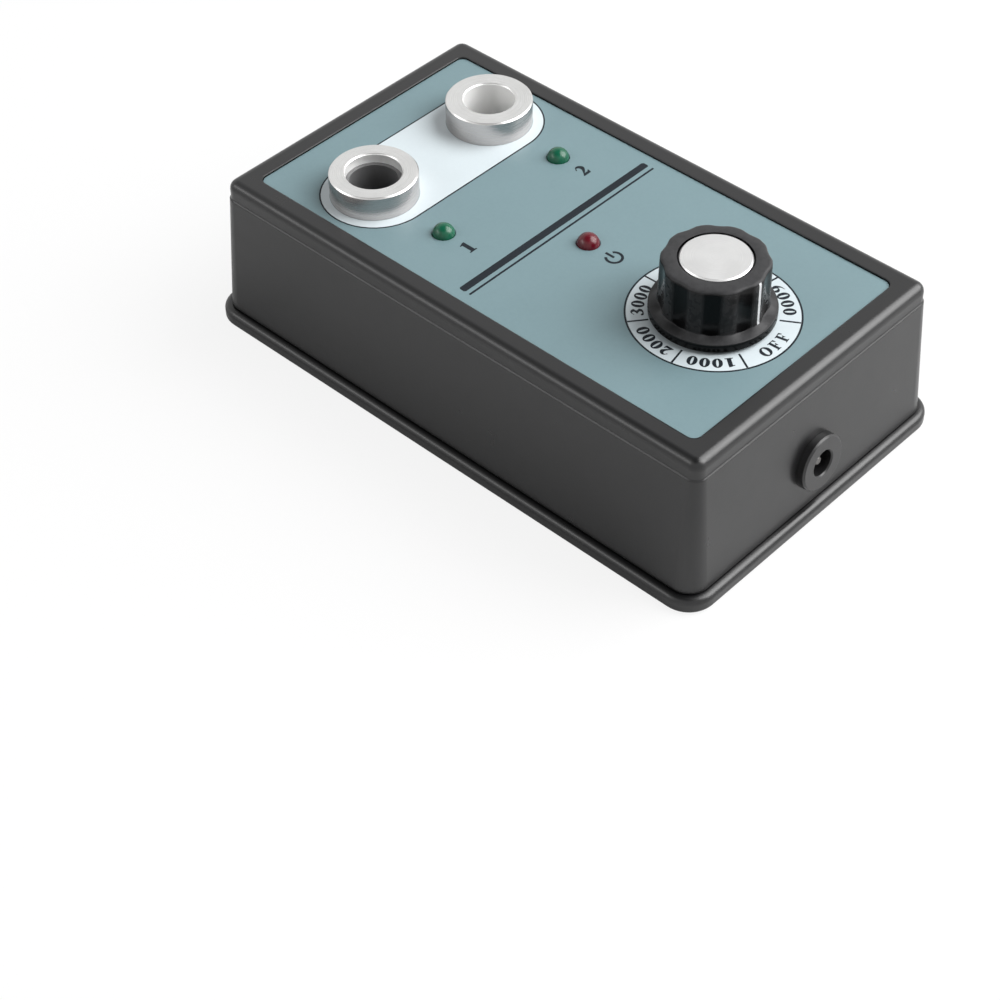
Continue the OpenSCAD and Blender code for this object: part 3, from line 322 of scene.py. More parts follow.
def moulded(name, colour, mottle, rough, swing=0.15, grain=3000.0, mottle_scale=90.0, bump=0.1, rounding=0.15,
            rubbed=None, wear=0.5, wear_width=0.3, dust=None, land_highlight=None, **sockets):
    """Grained finish, with rubbed edges, settled dust and a painted highlight on the knob's rib lands, where their
    colours are given.
    """
    material, tree, shader = shader_of(name, **sockets)
    spot = object_place(tree)
    skin = group_node(tree, MOULDED_GRAIN, Vector=spot, Grain_Scale=grain, Mottle_Scale=mottle_scale,
                      Color=rgba(colour), Mottle_Color=rgba(mottle), Roughness=rough, Roughness_Swing=swing)
    tone = skin.outputs["Color"]
    if rubbed:
        edge = group_node(tree, EDGE_WEAR, Vector=spot, Color=tone, Rubbed_Color=rgba(rubbed),
                          Width=wear_width * MM, Amount=wear)
        tone = edge.outputs["Color"]
    gloss = skin.outputs["Roughness"]
    if dust:
        film = group_node(tree, SETTLED_DUST, Vector=spot, Color=tone, Dust_Color=rgba(dust), Roughness=gloss)
        tone, gloss = film.outputs["Color"], film.outputs["Roughness"]
    # Painted highlight on the lands of the knob's ribs.
    if land_highlight:
        ribs = group_node(tree, PAINTED_RIB_HIGHLIGHT, Vector=object_place(tree, KNOB_AXIS), Color=tone,
                          Land_Color=rgba(land_highlight), Roughness=gloss)
        tone, gloss = ribs.outputs["Color"], ribs.outputs["Roughness"]
    tree.links.new(tone, shader.inputs["Base Color"])
    tree.links.new(gloss, shader.inputs["Roughness"])
    relief(tree, shader, skin.outputs["Height"], bump, rounding)
    return material


LATHE_SCALE = 9000.0
LATHE_BUMP, LATHE_ROUNDING = 0.1, 0.12


def turned(name, axis, colour, groove, rough, line=LATHE_SCALE, rounding=LATHE_ROUNDING):
    """Metal turned on a lathe about an upright axis."""
    material, tree, shader = shader_of(name, Metallic=1.0)
    skin = group_node(tree, LATHE_LINES, Vector=object_place(tree, axis), Line_Scale=line, Color=rgba(colour),
                      Groove_Color=rgba(groove), Roughness=rough, Roughness_Swing=0.2)
    tree.links.new(skin.outputs["Color"], shader.inputs["Base Color"])
    tree.links.new(skin.outputs["Roughness"], shader.inputs["Roughness"])
    relief(tree, shader, skin.outputs["Height"], LATHE_BUMP, rounding)
    return material


CASE_PLASTIC = moulded("case_plastic", (0.0075, 0.0075, 0.008), (0.006, 0.006, 0.0064), 0.3, grain=2600,
                       rounding=0.45, rubbed=(0.02, 0.02, 0.021), wear=0.3, wear_width=0.4)
LABEL_PRINT = moulded("label_print", (0.172, 0.262, 0.286), (0.162, 0.248, 0.27), 0.42, grain=1500, bump=0.04,
                      mottle_scale=60)
# Nylon painted grey rather than black: painted light inside the socket bores.
BLACK_NYLON_PAINTED_LIGHT = moulded("black_nylon", (0.11, 0.11, 0.112), (0.13, 0.13, 0.132), 0.38)
# Its land colour is a painted highlight on the knob's ribs.
BLACK_BAKELITE = moulded("black_bakelite", (0.002, 0.002, 0.0022), (0.003, 0.003, 0.0033), 0.14, swing=0.08,
                         grain=1200, bump=0.03, rounding=0.0, rubbed=(0.035, 0.035, 0.036), wear=0.4, wear_width=0.25,
                         dust=(0.058, 0.058, 0.06), land_highlight=(0.034, 0.034, 0.035), Specular_IOR_Level=0.13)
INLET_PLASTIC = moulded("inlet_plastic", (0.012, 0.012, 0.0125), (0.009, 0.009, 0.0095), 0.34,
                        rubbed=(0.04, 0.04, 0.041), wear=0.4)
PLATED_STEEL = moulded("plated_steel", (0.62, 0.62, 0.62), (0.5, 0.5, 0.5), 0.3, rubbed=(0.8, 0.8, 0.8), Metallic=1.0)
SPRING_STEEL = moulded("spring_steel", (0.45, 0.46, 0.48), (0.33, 0.34, 0.36), 0.28, Metallic=1.0)
TINNED_WIRE = moulded("tinned_wire", (0.65, 0.65, 0.65), (0.55, 0.55, 0.56), 0.32, Metallic=1.0)
TAG_BRASS = moulded("tag_brass", (0.72, 0.55, 0.25), (0.58, 0.42, 0.18), 0.34, rubbed=(0.85, 0.7, 0.4), Metallic=1.0)
BROWN_PHENOLIC = moulded("brown_phenolic", (0.16, 0.08, 0.04), (0.12, 0.055, 0.028), 0.5, grain=1800, bump=0.2)
GREEN_BOARD = moulded("green_board", (0.01, 0.16, 0.06), (0.014, 0.2, 0.08), 0.35, grain=900)
POTTING_RESIN = moulded("potting_resin", (0.02, 0.02, 0.025), (0.03, 0.03, 0.035), 0.2, grain=400)
CHIP_PLASTIC = moulded("chip_plastic", (0.015, 0.015, 0.015), (0.022, 0.022, 0.022), 0.6, grain=4000, bump=0.25)
CAPACITOR_SLEEVE = moulded("capacitor_sleeve", (0.02, 0.03, 0.12), (0.025, 0.036, 0.14), 0.25, grain=700)
RED_INSULATION = moulded("red_insulation", (0.45, 0.03, 0.03), (0.38, 0.024, 0.024), 0.45)
BLACK_INSULATION = moulded("black_insulation", (0.02, 0.02, 0.02), (0.028, 0.028, 0.028), 0.45)
GREY_INSULATION = moulded("grey_insulation", (0.25, 0.25, 0.26), (0.2, 0.2, 0.21), 0.45)
WHITE_INK = moulded("white_ink", (0.62, 0.69, 0.72), (0.6, 0.67, 0.7), 0.45, grain=1500, bump=0.03,
                    mottle_scale=60, rounding=0.0)
DARK_INK = moulded("dark_ink", (0.012, 0.016, 0.021), (0.018, 0.023, 0.029), 0.5, grain=2200, bump=0.05, rounding=0.0,
                   Specular_IOR_Level=0.12)
POINTER_PAINT = moulded("pointer_paint", (0.62, 0.63, 0.64), (0.5, 0.51, 0.52), 0.4, grain=1800, rounding=0.0)
LEFT_CONTACT_BRASS = turned("left_contact_brass", SOCKETS[0], (0.75, 0.56, 0.24), (0.6, 0.43, 0.17), 0.25)
RIGHT_CONTACT_BRASS = turned("right_contact_brass", SOCKETS[1], (0.75, 0.56, 0.24), (0.6, 0.43, 0.17), 0.25)
BUSH_BRASS = turned("bush_brass", KNOB_AXIS, (0.75, 0.56, 0.24), (0.6, 0.43, 0.17), 0.3)
SPUN_ALUMINIUM = turned("spun_aluminium", KNOB_AXIS, (0.79, 0.79, 0.785), (0.68, 0.68, 0.675), 0.34, line=7000,
                        rounding=0.1)
SHAFT_ALUMINIUM = turned("shaft_aluminium", KNOB_AXIS, (0.7, 0.7, 0.72), (0.55, 0.55, 0.57), 0.32)
# The pin is painted dark: painted shade in the hole of the inlet.
INLET_CONTACT_PAINTED_SHADE = moulded("inlet_contact", (0.2, 0.195, 0.19), (0.15, 0.145, 0.14), 0.36, Metallic=1.0)


def socket_steel(name, axis, bore_r):
    """Turned steel ring: bright top, barrel painted greyer as painted shade, and bore painted pale as painted light.
    """
    material, tree, shader = shader_of(name)
    spot = object_place(tree, axis)
    skin = group_node(tree, LATHE_LINES, Vector=spot, Line_Scale=LATHE_SCALE, Color=rgba((0.76, 0.76, 0.75)),
                      Groove_Color=rgba((0.66, 0.66, 0.65)), Roughness=0.26, Roughness_Swing=0.16)
    # The barrel colour is painted shade; the pale bore colour is painted light.
    zones = group_node(tree, RING_ZONES, Vector=spot, Color=skin.outputs["Color"],
                       Barrel_Color=rgba((0.54, 0.505, 0.495)), Bore_Color=rgba((0.95, 0.95, 0.94)),
                       Roughness=skin.outputs["Roughness"], Bore_Roughness=0.28, Bore_Metallic=0.36,
                       Bore_Radius=(bore_r + 0.1) * MM)
    for label, target in (("Color", "Base Color"), ("Roughness", "Roughness"), ("Metallic", "Metallic")):
        tree.links.new(zones.outputs[label], shader.inputs[target])
    relief(tree, shader, skin.outputs["Height"], LATHE_BUMP, LATHE_ROUNDING)
    return material


LEFT_TURNED_STEEL = socket_steel("left_turned_steel", SOCKETS[0], BORE_R[0])
RIGHT_TURNED_STEEL = socket_steel("right_turned_steel", SOCKETS[1], BORE_R[1])


def lamp_lens(name, colour, mottle):
    """Tinted clear plastic, a little cloudy."""
    return moulded(name, colour, mottle, 0.24, swing=0.08, grain=700, mottle_scale=300, bump=0.02, rounding=0.0,
                   Transmission_Weight=0.22, IOR=1.5, Specular_IOR_Level=0.3, Coat_Weight=0.12, Coat_Roughness=0.2)


GREEN_LENS = lamp_lens("green_lens", (0.003, 0.105, 0.05), (0.005, 0.145, 0.075))
RED_LENS = lamp_lens("red_lens", (0.12, 0.003, 0.01), (0.16, 0.005, 0.016))

NODE_FINISH = {
    "case_shell": CASE_PLASTIC, "base_cover": CASE_PLASTIC, "cover_screws": PLATED_STEEL, "face_label": LABEL_PRINT,
    "left_socket_ring": LEFT_TURNED_STEEL, "right_socket_ring": RIGHT_TURNED_STEEL, "ring_nuts": PLATED_STEEL,
    "earth_tags": TAG_BRASS, "left_insulator_tube": BLACK_NYLON_PAINTED_LIGHT, "right_insulator_tube": BLACK_NYLON_PAINTED_LIGHT,
    "left_contact": LEFT_CONTACT_BRASS, "right_contact": RIGHT_CONTACT_BRASS, "left_contact_spring": SPRING_STEEL,
    "right_contact_spring": SPRING_STEEL, "left_contact_seat": LEFT_CONTACT_BRASS,
    "right_contact_seat": RIGHT_CONTACT_BRASS, "left_green_lamp": GREEN_LENS, "right_green_lamp": GREEN_LENS,
    "red_lamp": RED_LENS, "lamp_wires": TINNED_WIRE, "knob_body": BLACK_BAKELITE, "knob_cap": SPUN_ALUMINIUM,
    "knob_bush": BUSH_BRASS, "knob_set_screw": SPRING_STEEL, "pot_shaft": SHAFT_ALUMINIUM,
    "pot_rotor": BROWN_PHENOLIC, "pot_housing": PLATED_STEEL, "pot_bushing": PLATED_STEEL,
    "pot_washer": PLATED_STEEL, "pot_nut": PLATED_STEEL, "pot_switch": BROWN_PHENOLIC, "pot_tags": TAG_BRASS,
    "inlet_body": INLET_PLASTIC, "inlet_nut": PLATED_STEEL, "inlet_pin": INLET_CONTACT_PAINTED_SHADE, "inlet_tags": TAG_BRASS,
    "circuit_board": GREEN_BOARD, "board_screws": PLATED_STEEL, "left_coil": POTTING_RESIN,
    "right_coil": POTTING_RESIN, "control_chip": CHIP_PLASTIC, "power_transistors": CHIP_PLASTIC,
    "heat_sinks": SHAFT_ALUMINIUM, "capacitors": CAPACITOR_SLEEVE, "hv_leads": RED_INSULATION,
    "earth_leads": BLACK_INSULATION, "pot_leads": GREY_INSULATION, "inlet_leads": RED_INSULATION,
}
for node_name, finish in NODE_FINISH.items():
    NODES[node_name].data.materials.clear()
    NODES[node_name].data.materials.append(finish)


# Making pieces

def piece(name, mesh, finish, body):
    """An object for a finished mesh, which rides on a body."""
    mesh.materials.clear()
    mesh.materials.append(finish)
    made = bpy.data.objects.new(name, mesh)
    bpy.context.scene.collection.objects.link(made)
    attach(made, body)
    return made


def smoothed(mesh, angle):
    """Smooth shading, with sharp edges above an angle in degrees."""
    mesh.polygons.foreach_set("use_smooth", [True] * len(mesh.polygons))
    mesh.set_sharp_from_angle(angle=math.radians(angle))
    return mesh


def mesh_from(name, bm, smooth_angle=None):
    """A clean mesh from a bmesh, which it frees."""
    bmesh.ops.remove_doubles(bm, verts=bm.verts, dist=1e-7)
    bmesh.ops.recalc_face_normals(bm, faces=bm.faces)
    mesh = bpy.data.meshes.new(name)
    bm.to_mesh(mesh)
    bm.free()
    return smoothed(mesh, smooth_angle) if smooth_angle else mesh


def spun(outline, centre, steps):
    """A bmesh of a closed half outline of (radius, height) in millimetres, spun about an upright axis."""
    bm = bmesh.new()
    points = [bm.verts.new((centre[0] * MM + r * MM, centre[1] * MM, z * MM)) for r, z in outline]
    edges = [bm.edges.new(pair) for pair in zip(points, points[1:] + points[:1])]
    bmesh.ops.spin(bm, geom=points + edges, cent=(centre[0] * MM, centre[1] * MM, 0), axis=(0, 0, 1),
                   angle=2 * math.pi, steps=steps, use_merge=True)
    return bm


def flat_mesh(name, outlines, low, high):
    """A thin flat mesh filled from closed outlines of (x, y, handle), in millimetres between two levels."""
    curve = bpy.data.curves.new(name, "CURVE")
    curve.dimensions = "2D"
    curve.fill_mode = "BOTH"
    curve.resolution_u = 6
    curve.extrude = (high - low) / 2 * MM
    for outline in outlines:
        spline = curve.splines.new("BEZIER")
        spline.bezier_points.add(len(outline) - 1)
        for point, (x, y, handle) in zip(spline.bezier_points, outline):
            point.co = (x * MM, y * MM, 0)
            point.handle_left_type = handle
            point.handle_right_type = handle
        spline.use_cyclic_u = True
    holder = bpy.data.objects.new(name, curve)
    bpy.context.scene.collection.objects.link(holder)
    bpy.context.view_layer.update()
    mesh = bpy.data.meshes.new_from_object(holder.evaluated_get(bpy.context.evaluated_depsgraph_get()))
    bpy.data.objects.remove(holder)
    bpy.data.curves.remove(curve)
    mesh.transform(Matrix.Translation((0, 0, (low + high) / 2 * MM)))
    bm = bmesh.new()
    bm.from_mesh(mesh)
    bpy.data.meshes.remove(mesh)
    return mesh_from(name, bm)


# Handles of an outline's points: a smooth curve or a sharp corner
A, V = "AUTO", "VECTOR"


def corners(*points):
    """An outline of straight lines."""
    return [(x, y, V) for x, y in points]


def oval(cx, cy, rx, ry, points=8):
    turns = [2 * math.pi * i / points for i in range(points)]
    return [(cx + rx * math.cos(t), cy + ry * math.sin(t), A) for t in turns]


def pill_outline(half_length, middle, radius, points=24):
    """A stadium along X about the point (0, middle)."""
    outline = []
    for side in (1, -1):
        for i in range(points + 1):
            t = -math.pi / 2 + math.pi * i / points
            outline.append((side * (half_length - radius + radius * math.cos(t)),
                            middle + side * radius * math.sin(t), V))
    return outline


def bar_outline(x0, x1, y0, y1, end):
    """A bar with chamfered ends."""
    return corners((x0 + end, y0), (x1 - end, y0), (x1, y0 + end), (x1, y1 - end),
                   (x1 - end, y1), (x0 + end, y1), (x0, y1 - end), (x0, y0 + end))


# Printed label

PILL_HALF, PILL_MIDDLE, PILL_R, PILL_LINE = 29.75, 39.2, 12.0, 0.36
DIAL_AXIS = (KNOB_AXIS[0] + 0.15, KNOB_AXIS[1] - 0.15)
DIAL_R, DIAL_LINE, DIAL_STEPS = 17.75, 0.42, 180
RING_GAP, WASHER_GAP = 0.05, 0.4
GROUND = LABEL_TOP + INK
PRINT = LABEL_TOP + 2 * INK
BURIED = LABEL_TOP - 0.01
ON_GROUND = GROUND - 0.005
PRINT_GAP = 0.005

gap_r = SOCKET_RING_R + RING_GAP
socket_gaps = [oval(x, y, gap_r, gap_r, 32) for x, y in SOCKETS]
pill_ground = [pill_outline(PILL_HALF, PILL_MIDDLE, PILL_R)] + socket_gaps
pill_line = [pill_outline(PILL_HALF + grow, PILL_MIDDLE, PILL_R + grow) for grow in (PILL_LINE, PRINT_GAP)]


def printed(name, outlines, finish, low, high):
    """Flat print on the label."""
    piece(name, flat_mesh(name, outlines, low, high), finish, "case")


printed("pill_ground", pill_ground, WHITE_INK, BURIED, GROUND)
printed("pill_line", pill_line, DARK_INK, BURIED, GROUND)


def dial_ring(name, inner, outer, finish):
    """A printed ring about the knob."""
    bm = spun([(inner, BURIED), (outer, BURIED), (outer, GROUND), (inner, GROUND)], DIAL_AXIS, DIAL_STEPS)
    piece(name, mesh_from(name, bm), finish, "case")


dial_ring("dial_ground", WASHER_R + WASHER_GAP, DIAL_R, WHITE_INK)
dial_ring("dial_rim", DIAL_R + PRINT_GAP, DIAL_R + DIAL_LINE, DARK_INK)

# Bold numerals and letters with feet, one unit tall: closed outlines, the second one a counter
GLYPHS = {
    "0": [oval(0.35, 0.5, 0.35, 0.51), oval(0.35, 0.5, 0.085, 0.39)],
    "1": [corners((0.08, 0), (0.64, 0), (0.64, 0.08), (0.51, 0.11), (0.51, 1.0), (0.40, 1.0), (0.08, 0.88),
                  (0.08, 0.80), (0.20, 0.83), (0.22, 0.79), (0.22, 0.11), (0.08, 0.08))],
    "2": [[(0.03, 0, V), (0.03, 0.05, V), (0.27, 0.37, A), (0.39, 0.68, A), (0.25, 0.85, A), (0.11, 0.68, V),
           (0.04, 0.72, V), (0.34, 1.0, A), (0.67, 0.72, A), (0.53, 0.43, A), (0.27, 0.2, V), (0.52, 0.2, V),
           (0.61, 0.3, V), (0.67, 0.3, V), (0.61, 0, V)]],
    "3": [[(0.05, 0.74, V), (0.33, 1.0, A), (0.64, 0.78, A), (0.50, 0.56, A), (0.70, 0.30, A), (0.30, 0, A),
           (0.0, 0.11, A), (0.10, 0.22, A), (0.27, 0.1, A), (0.42, 0.28, A), (0.20, 0.45, V), (0.20, 0.52, V),
           (0.37, 0.75, A), (0.25, 0.87, A), (0.11, 0.70, V)]],
    "4": [corners((0.38, 0), (0.58, 0), (0.58, 0.22), (0.68, 0.22), (0.68, 0.37), (0.58, 0.37), (0.58, 1.0),
                  (0.46, 1.0), (0.02, 0.34), (0.02, 0.22), (0.38, 0.22)),
          corners((0.38, 0.37), (0.38, 0.76), (0.10, 0.37))],
    "5": [[(0.05, 0.55, V), (0.16, 1.0, V), (0.64, 1.0, V), (0.58, 0.83, V), (0.21, 0.83, V), (0.18, 0.72, V),
           (0.48, 0.62, A), (0.66, 0.34, A), (0.30, 0, A), (0.02, 0.08, A), (0.09, 0.19, A), (0.28, 0.09, A),
           (0.46, 0.29, A), (0.30, 0.49, A)]],
    "6": [[(0.62, 1.0, V), (0.18, 0.80, A), (0.0, 0.38, A), (0.34, 0, A), (0.69, 0.32, A), (0.42, 0.63, A),
           (0.27, 0.58, V), (0.36, 0.80, A), (0.62, 0.95, V)], oval(0.35, 0.30, 0.1, 0.22)],
    "O": [oval(0.40, 0.5, 0.41, 0.52), oval(0.40, 0.5, 0.16, 0.41)],
    "F": [corners((0.02, 0), (0.44, 0), (0.44, 0.05), (0.33, 0.08), (0.33, 0.46), (0.40, 0.46), (0.47, 0.36),
                  (0.51, 0.36), (0.51, 0.66), (0.47, 0.66), (0.42, 0.54), (0.33, 0.54), (0.33, 0.93), (0.48, 0.93),
                  (0.60, 0.72), (0.65, 0.72), (0.63, 1.0), (0.02, 1.0), (0.02, 0.95), (0.12, 0.92), (0.12, 0.08),
                  (0.02, 0.05))],
}
NUMERAL_WIDTH = 0.70
LETTER_WIDTH = {"O": 0.8, "F": 0.68}


def set_glyph(mark, height, x, y, turn, stretch=1.0):
    """A glyph's outlines with the middle of its foot at (x, y), turned about that point."""
    half = LETTER_WIDTH.get(mark, NUMERAL_WIDTH) / 2
    c, s = height * math.cos(turn), height * math.sin(turn)
    placed = []
    for outline in GLYPHS[mark]:
        wide = [((px - half) * stretch, py, handle) for px, py, handle in outline]
        placed.append([(x + px * c - py * s, y + px * s + py * c, handle) for px, py, handle in wide])
    return placed


def round_the_dial(text, middle, height, foot_r, step, inward=False):
    """A row of glyphs on an arc about the knob, with its middle at an angle in degrees."""
    placed = []
    for i, mark in enumerate(text):
        offset = (i - (len(text) - 1) / 2) * step
        angle = math.radians(middle + offset if inward else middle - offset)
        turn = angle + math.pi / 2 if inward else angle - math.pi / 2
        placed += set_glyph(mark, height, DIAL_AXIS[0] + foot_r * math.cos(angle),
                            DIAL_AXIS[1] + foot_r * math.sin(angle), turn, DIAL_STRETCH)
    return placed


# Angles on the dial in degrees, lengths in millimetres
FIELDS, FIELD_STEP = 6, 50
FIRST_LINE, LAST_LINE = 241.5, 302
FIGURE_HEIGHT, DIAL_STRETCH = 2.7, 1.12
NUMBER_FOOT_R, NUMBER_STEP, NUMBER_SHIFT = 14.1, 9.4, 1
OFF_MIDDLE, OFF_FOOT_R, OFF_STEP = 272, 16.8, 10.5
LINE_START_R, LINE_END_R, LINE_HALF = 13.4, DIAL_R - 0.02, 0.22
NUMERAL_HEIGHT, NUMERAL_DROP = 3.6, 8.8
RULE_HALF = 29
POWER_MARK_Y, POWER_MARK_R, POWER_MARK_LINE, POWER_MARK_GAP = -13.0, 1.75, 0.62, 38

dial_numbers = round_the_dial("OFF", OFF_MIDDLE, FIGURE_HEIGHT, OFF_FOOT_R, OFF_STEP, inward=True)
for i in range(FIELDS):
    field_middle = FIRST_LINE - FIELD_STEP * (i + 0.5) + NUMBER_SHIFT
    dial_numbers += round_the_dial(f"{i + 1}000", field_middle, FIGURE_HEIGHT, NUMBER_FOOT_R, NUMBER_STEP)
printed("dial_numbers", dial_numbers, DARK_INK, ON_GROUND, PRINT)

line_corners = ((LINE_START_R, -LINE_HALF), (LINE_END_R, -LINE_HALF),
                (LINE_END_R, LINE_HALF), (LINE_START_R, LINE_HALF))
field_lines = []
for angle in [FIRST_LINE - FIELD_STEP * i for i in range(FIELDS)] + [LAST_LINE]:
    c, s = math.cos(math.radians(angle)), math.sin(math.radians(angle))
    field_lines.append([(DIAL_AXIS[0] + r * c - w * s, DIAL_AXIS[1] + r * s + w * c, V) for r, w in line_corners])
printed("dial_lines", field_lines, DARK_INK, ON_GROUND, PRINT)

lamp_numerals = []
for mark, (x, y) in zip("12", GREEN_LAMPS):
    lamp_numerals += set_glyph(mark, NUMERAL_HEIGHT, x, y - NUMERAL_DROP, 0)
printed("lamp_numerals", lamp_numerals, DARK_INK, BURIED, GROUND)

title_rule = [bar_outline(-RULE_HALF, RULE_HALF, 2.2, 4.0, 0.35), bar_outline(-RULE_HALF, RULE_HALF, 0.7, 1.2, 0.1)]
printed("title_rule", title_rule, DARK_INK, BURIED, GROUND)


def power_mark_outlines(x, y, radius, width):
    """A broken ring with a stroke through its gap."""
    gap = math.radians(POWER_MARK_GAP)
    steps = 20
    turns = [math.pi / 2 + gap + (2 * math.pi - 2 * gap) * i / steps for i in range(steps + 1)]
    half = width / 2
    outer = [(x + (radius + half) * math.cos(t), y + (radius + half) * math.sin(t), V) for t in turns]
    inner = [(x + (radius - half) * math.cos(t), y + (radius - half) * math.sin(t), V) for t in reversed(turns)]
    return [outer + inner, bar_outline(x - half, x + half, y, y + radius + width, 0.12)]


power_mark = power_mark_outlines(RED_LAMP[0], POWER_MARK_Y, POWER_MARK_R, POWER_MARK_LINE)
printed("power_mark", power_mark, DARK_INK, BURIED, GROUND)


# Speed knob: angles in radians, lengths in millimetres

RIB_PITCH = 2 * math.pi / 10
RIB_TURN, POINTER_TURN = math.pi / 2, -math.pi / 2
FLUTE_AXIS_R, FLUTE_R = 20.3, 9.5
SKIRT_R, SKIRT_TOP = 13.2, KNOB_FOOT + 2.0
BODY_R, BODY_TAPER = 11.35, 0.15
FLARE_R, FLARE_END_R = 12.85, 10.5
RIB_FLARE, FLUTE_FLARE, FLARE_POWER = 2.1, 0.4, 1.6
FLARE_TOP = SKIRT_TOP + RIB_FLARE
EDGE_Z, BEVEL, BLEND = KNOB_TOP - 0.35, 0.8, 0.3
CAP_GAP_R, CAP_SEAT = 7.8, KNOB_TOP - 1.0
HOLLOW_R, HOLLOW_TOP = half_width("pot_nut") + 2.0, KNOB_FOOT + 4.0
BUSH_R, BUSH_TOP = 5.0, KNOB_TOP - 2.0
GRUB_Z, GRUB_R, GRUB_START, GRUB_LENGTH = (HOLLOW_TOP + BUSH_TOP) / 2, 1.55, BUSH_R - 0.5, 8
POINTER_LOW, POINTER_HIGH = SKIRT_TOP + 0.9, EDGE_Z - 0.3
POINTER_HALF, POINTER_COAT = 0.34, 0.03
FLARE_ROWS, SIDE_ROWS, BEVEL_ROWS, POINTER_ROWS, KNOB_STEPS = 24, 8, 6, 24, 360


def soft_less(a, b, k):
    """The lesser of two lengths, rounded over k where they meet."""
    h = max(k - abs(a - b), 0) / k
    return min(a, b) - h * h * k / 4


def from_flute(turn):
    """Angle from the middle of the nearest flute."""
    return (turn - RIB_TURN) % RIB_PITCH - RIB_PITCH / 2


def flute_wall(turn):
    """Distance from the knob's axis to the wall of the flutes, at an angle in radians."""
    off = from_flute(turn)
    return FLUTE_AXIS_R * math.cos(off) - math.sqrt(max(FLUTE_R ** 2 - (FLUTE_AXIS_R * math.sin(off)) ** 2, 0))


def rib_radius(z):
    """Radius of the slightly tapered ribs at a height."""
    return BODY_R - BODY_TAPER * max(z - FLARE_TOP, 0) / (EDGE_Z - FLARE_TOP)


def flare_radius(turn, z):
    """Radius of the hollow flare, which is tall at the ribs and low in the flutes."""
    rise = FLUTE_FLARE + (RIB_FLARE - FLUTE_FLARE) * math.sin(math.pi * from_flute(turn) / RIB_PITCH) ** 2
    share = max(SKIRT_TOP + rise - z, 0) / rise
    return FLARE_END_R + (FLARE_R - FLARE_END_R) * share ** FLARE_POWER


def knob_wall(turn, z):
    """Distance from the knob's axis to its side, at an angle in radians and a height."""
    fluted = soft_less(rib_radius(z), flute_wall(turn), BLEND)
    return -soft_less(-fluted, -flare_radius(turn, z), BLEND) - top_setback(z)


def top_setback(z):
    """How far the rounded top edge is drawn in at a height."""
    rise = max(z - (EDGE_Z - BEVEL), 0)
    return BEVEL - math.sqrt(max(BEVEL ** 2 - rise ** 2, 0))


def knob_outline():
    """Half outline of the knob through a rib, with its hollow foot and the seat of the cap."""
    heights = [SKIRT_TOP + RIB_FLARE * (i / FLARE_ROWS) ** 2 for i in range(FLARE_ROWS + 1)]
    heights += [FLARE_TOP + (EDGE_Z - BEVEL - FLARE_TOP) * i / SIDE_ROWS for i in range(1, SIDE_ROWS + 1)]
    heights += [EDGE_Z - BEVEL + BEVEL * math.sin(math.pi / 2 * i / BEVEL_ROWS) for i in range(1, BEVEL_ROWS + 1)]
    side = [(max(rib_radius(z), flare_radius(RIB_TURN, z)) - top_setback(z), z) for z in heights]
    foot = [(0, BUSH_TOP), (BUSH_R, BUSH_TOP), (BUSH_R, HOLLOW_TOP), (HOLLOW_R, HOLLOW_TOP), (HOLLOW_R, KNOB_FOOT),
            (SKIRT_R - 0.15, KNOB_FOOT), (SKIRT_R, KNOB_FOOT + 0.15), (SKIRT_R, SKIRT_TOP - 0.25),
            (SKIRT_R - 0.08, SKIRT_TOP - 0.08), (SKIRT_R - 0.25, SKIRT_TOP)]
    top = [(CAP_GAP_R + 0.25, KNOB_TOP - 0.06), (CAP_GAP_R + 0.05, KNOB_TOP - 0.12), (CAP_GAP_R, KNOB_TOP - 0.3),
           (CAP_GAP_R, CAP_SEAT), (0, CAP_SEAT)]
    return foot + side + top


def draw_in_flutes(bm):
    """Moves the side of the spun knob in to its flutes, with rounded ribs and a bevel that follows them."""
    for vert in bm.verts:
        x, y, z = vert.co.x / MM - KNOB_AXIS[0], vert.co.y / MM - KNOB_AXIS[1], vert.co.z / MM
        r = math.hypot(x, y)
        if z > SKIRT_TOP - 0.001 and CAP_GAP_R + 1.0 < r < FLARE_R + 0.01:
            turn = math.atan2(y, x)
            wall = min(knob_wall(turn, z), FLARE_R)
            vert.co.x = (KNOB_AXIS[0] + wall * math.cos(turn)) * MM
            vert.co.y = (KNOB_AXIS[1] + wall * math.sin(turn)) * MM


def knob_mesh():
    """The fluted knob, with the hole of its set screw drilled in."""
    bm = spun(knob_outline(), KNOB_AXIS, KNOB_STEPS)
    draw_in_flutes(bm)
    body = bpy.data.objects.new("fluted_knob", mesh_from("fluted_knob", bm))
    drill = bmesh.new()
    bmesh.ops.create_cone(drill, cap_ends=True, segments=48, radius1=GRUB_R * MM, radius2=GRUB_R * MM,
                          depth=GRUB_LENGTH * MM)
    bmesh.ops.rotate(drill, verts=drill.verts, cent=(0, 0, 0), matrix=Matrix.Rotation(math.pi / 2, 3, "X"))
    bmesh.ops.translate(drill, verts=drill.verts,
                         vec=(0, (KNOB_AXIS[1] + GRUB_START + GRUB_LENGTH / 2) * MM, GRUB_Z * MM))
    cutter = bpy.data.objects.new("grub_drill", mesh_from("grub_drill", drill))
    for made in (body, cutter):
        bpy.context.scene.collection.objects.link(made)
    hole = body.modifiers.new("grub_hole", "BOOLEAN")
    hole.operation = "DIFFERENCE"
    hole.solver = "EXACT"
    hole.object = cutter
    bpy.context.view_layer.update()
    mesh = bpy.data.meshes.new_from_object(body.evaluated_get(bpy.context.evaluated_depsgraph_get()))
    for made in (body, cutter):
        bpy.data.objects.remove(made)
    return smoothed(mesh, 32)


fluted_knob = piece("fluted_knob", knob_mesh(), BLACK_BAKELITE, "knob")
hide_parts("knob_body")


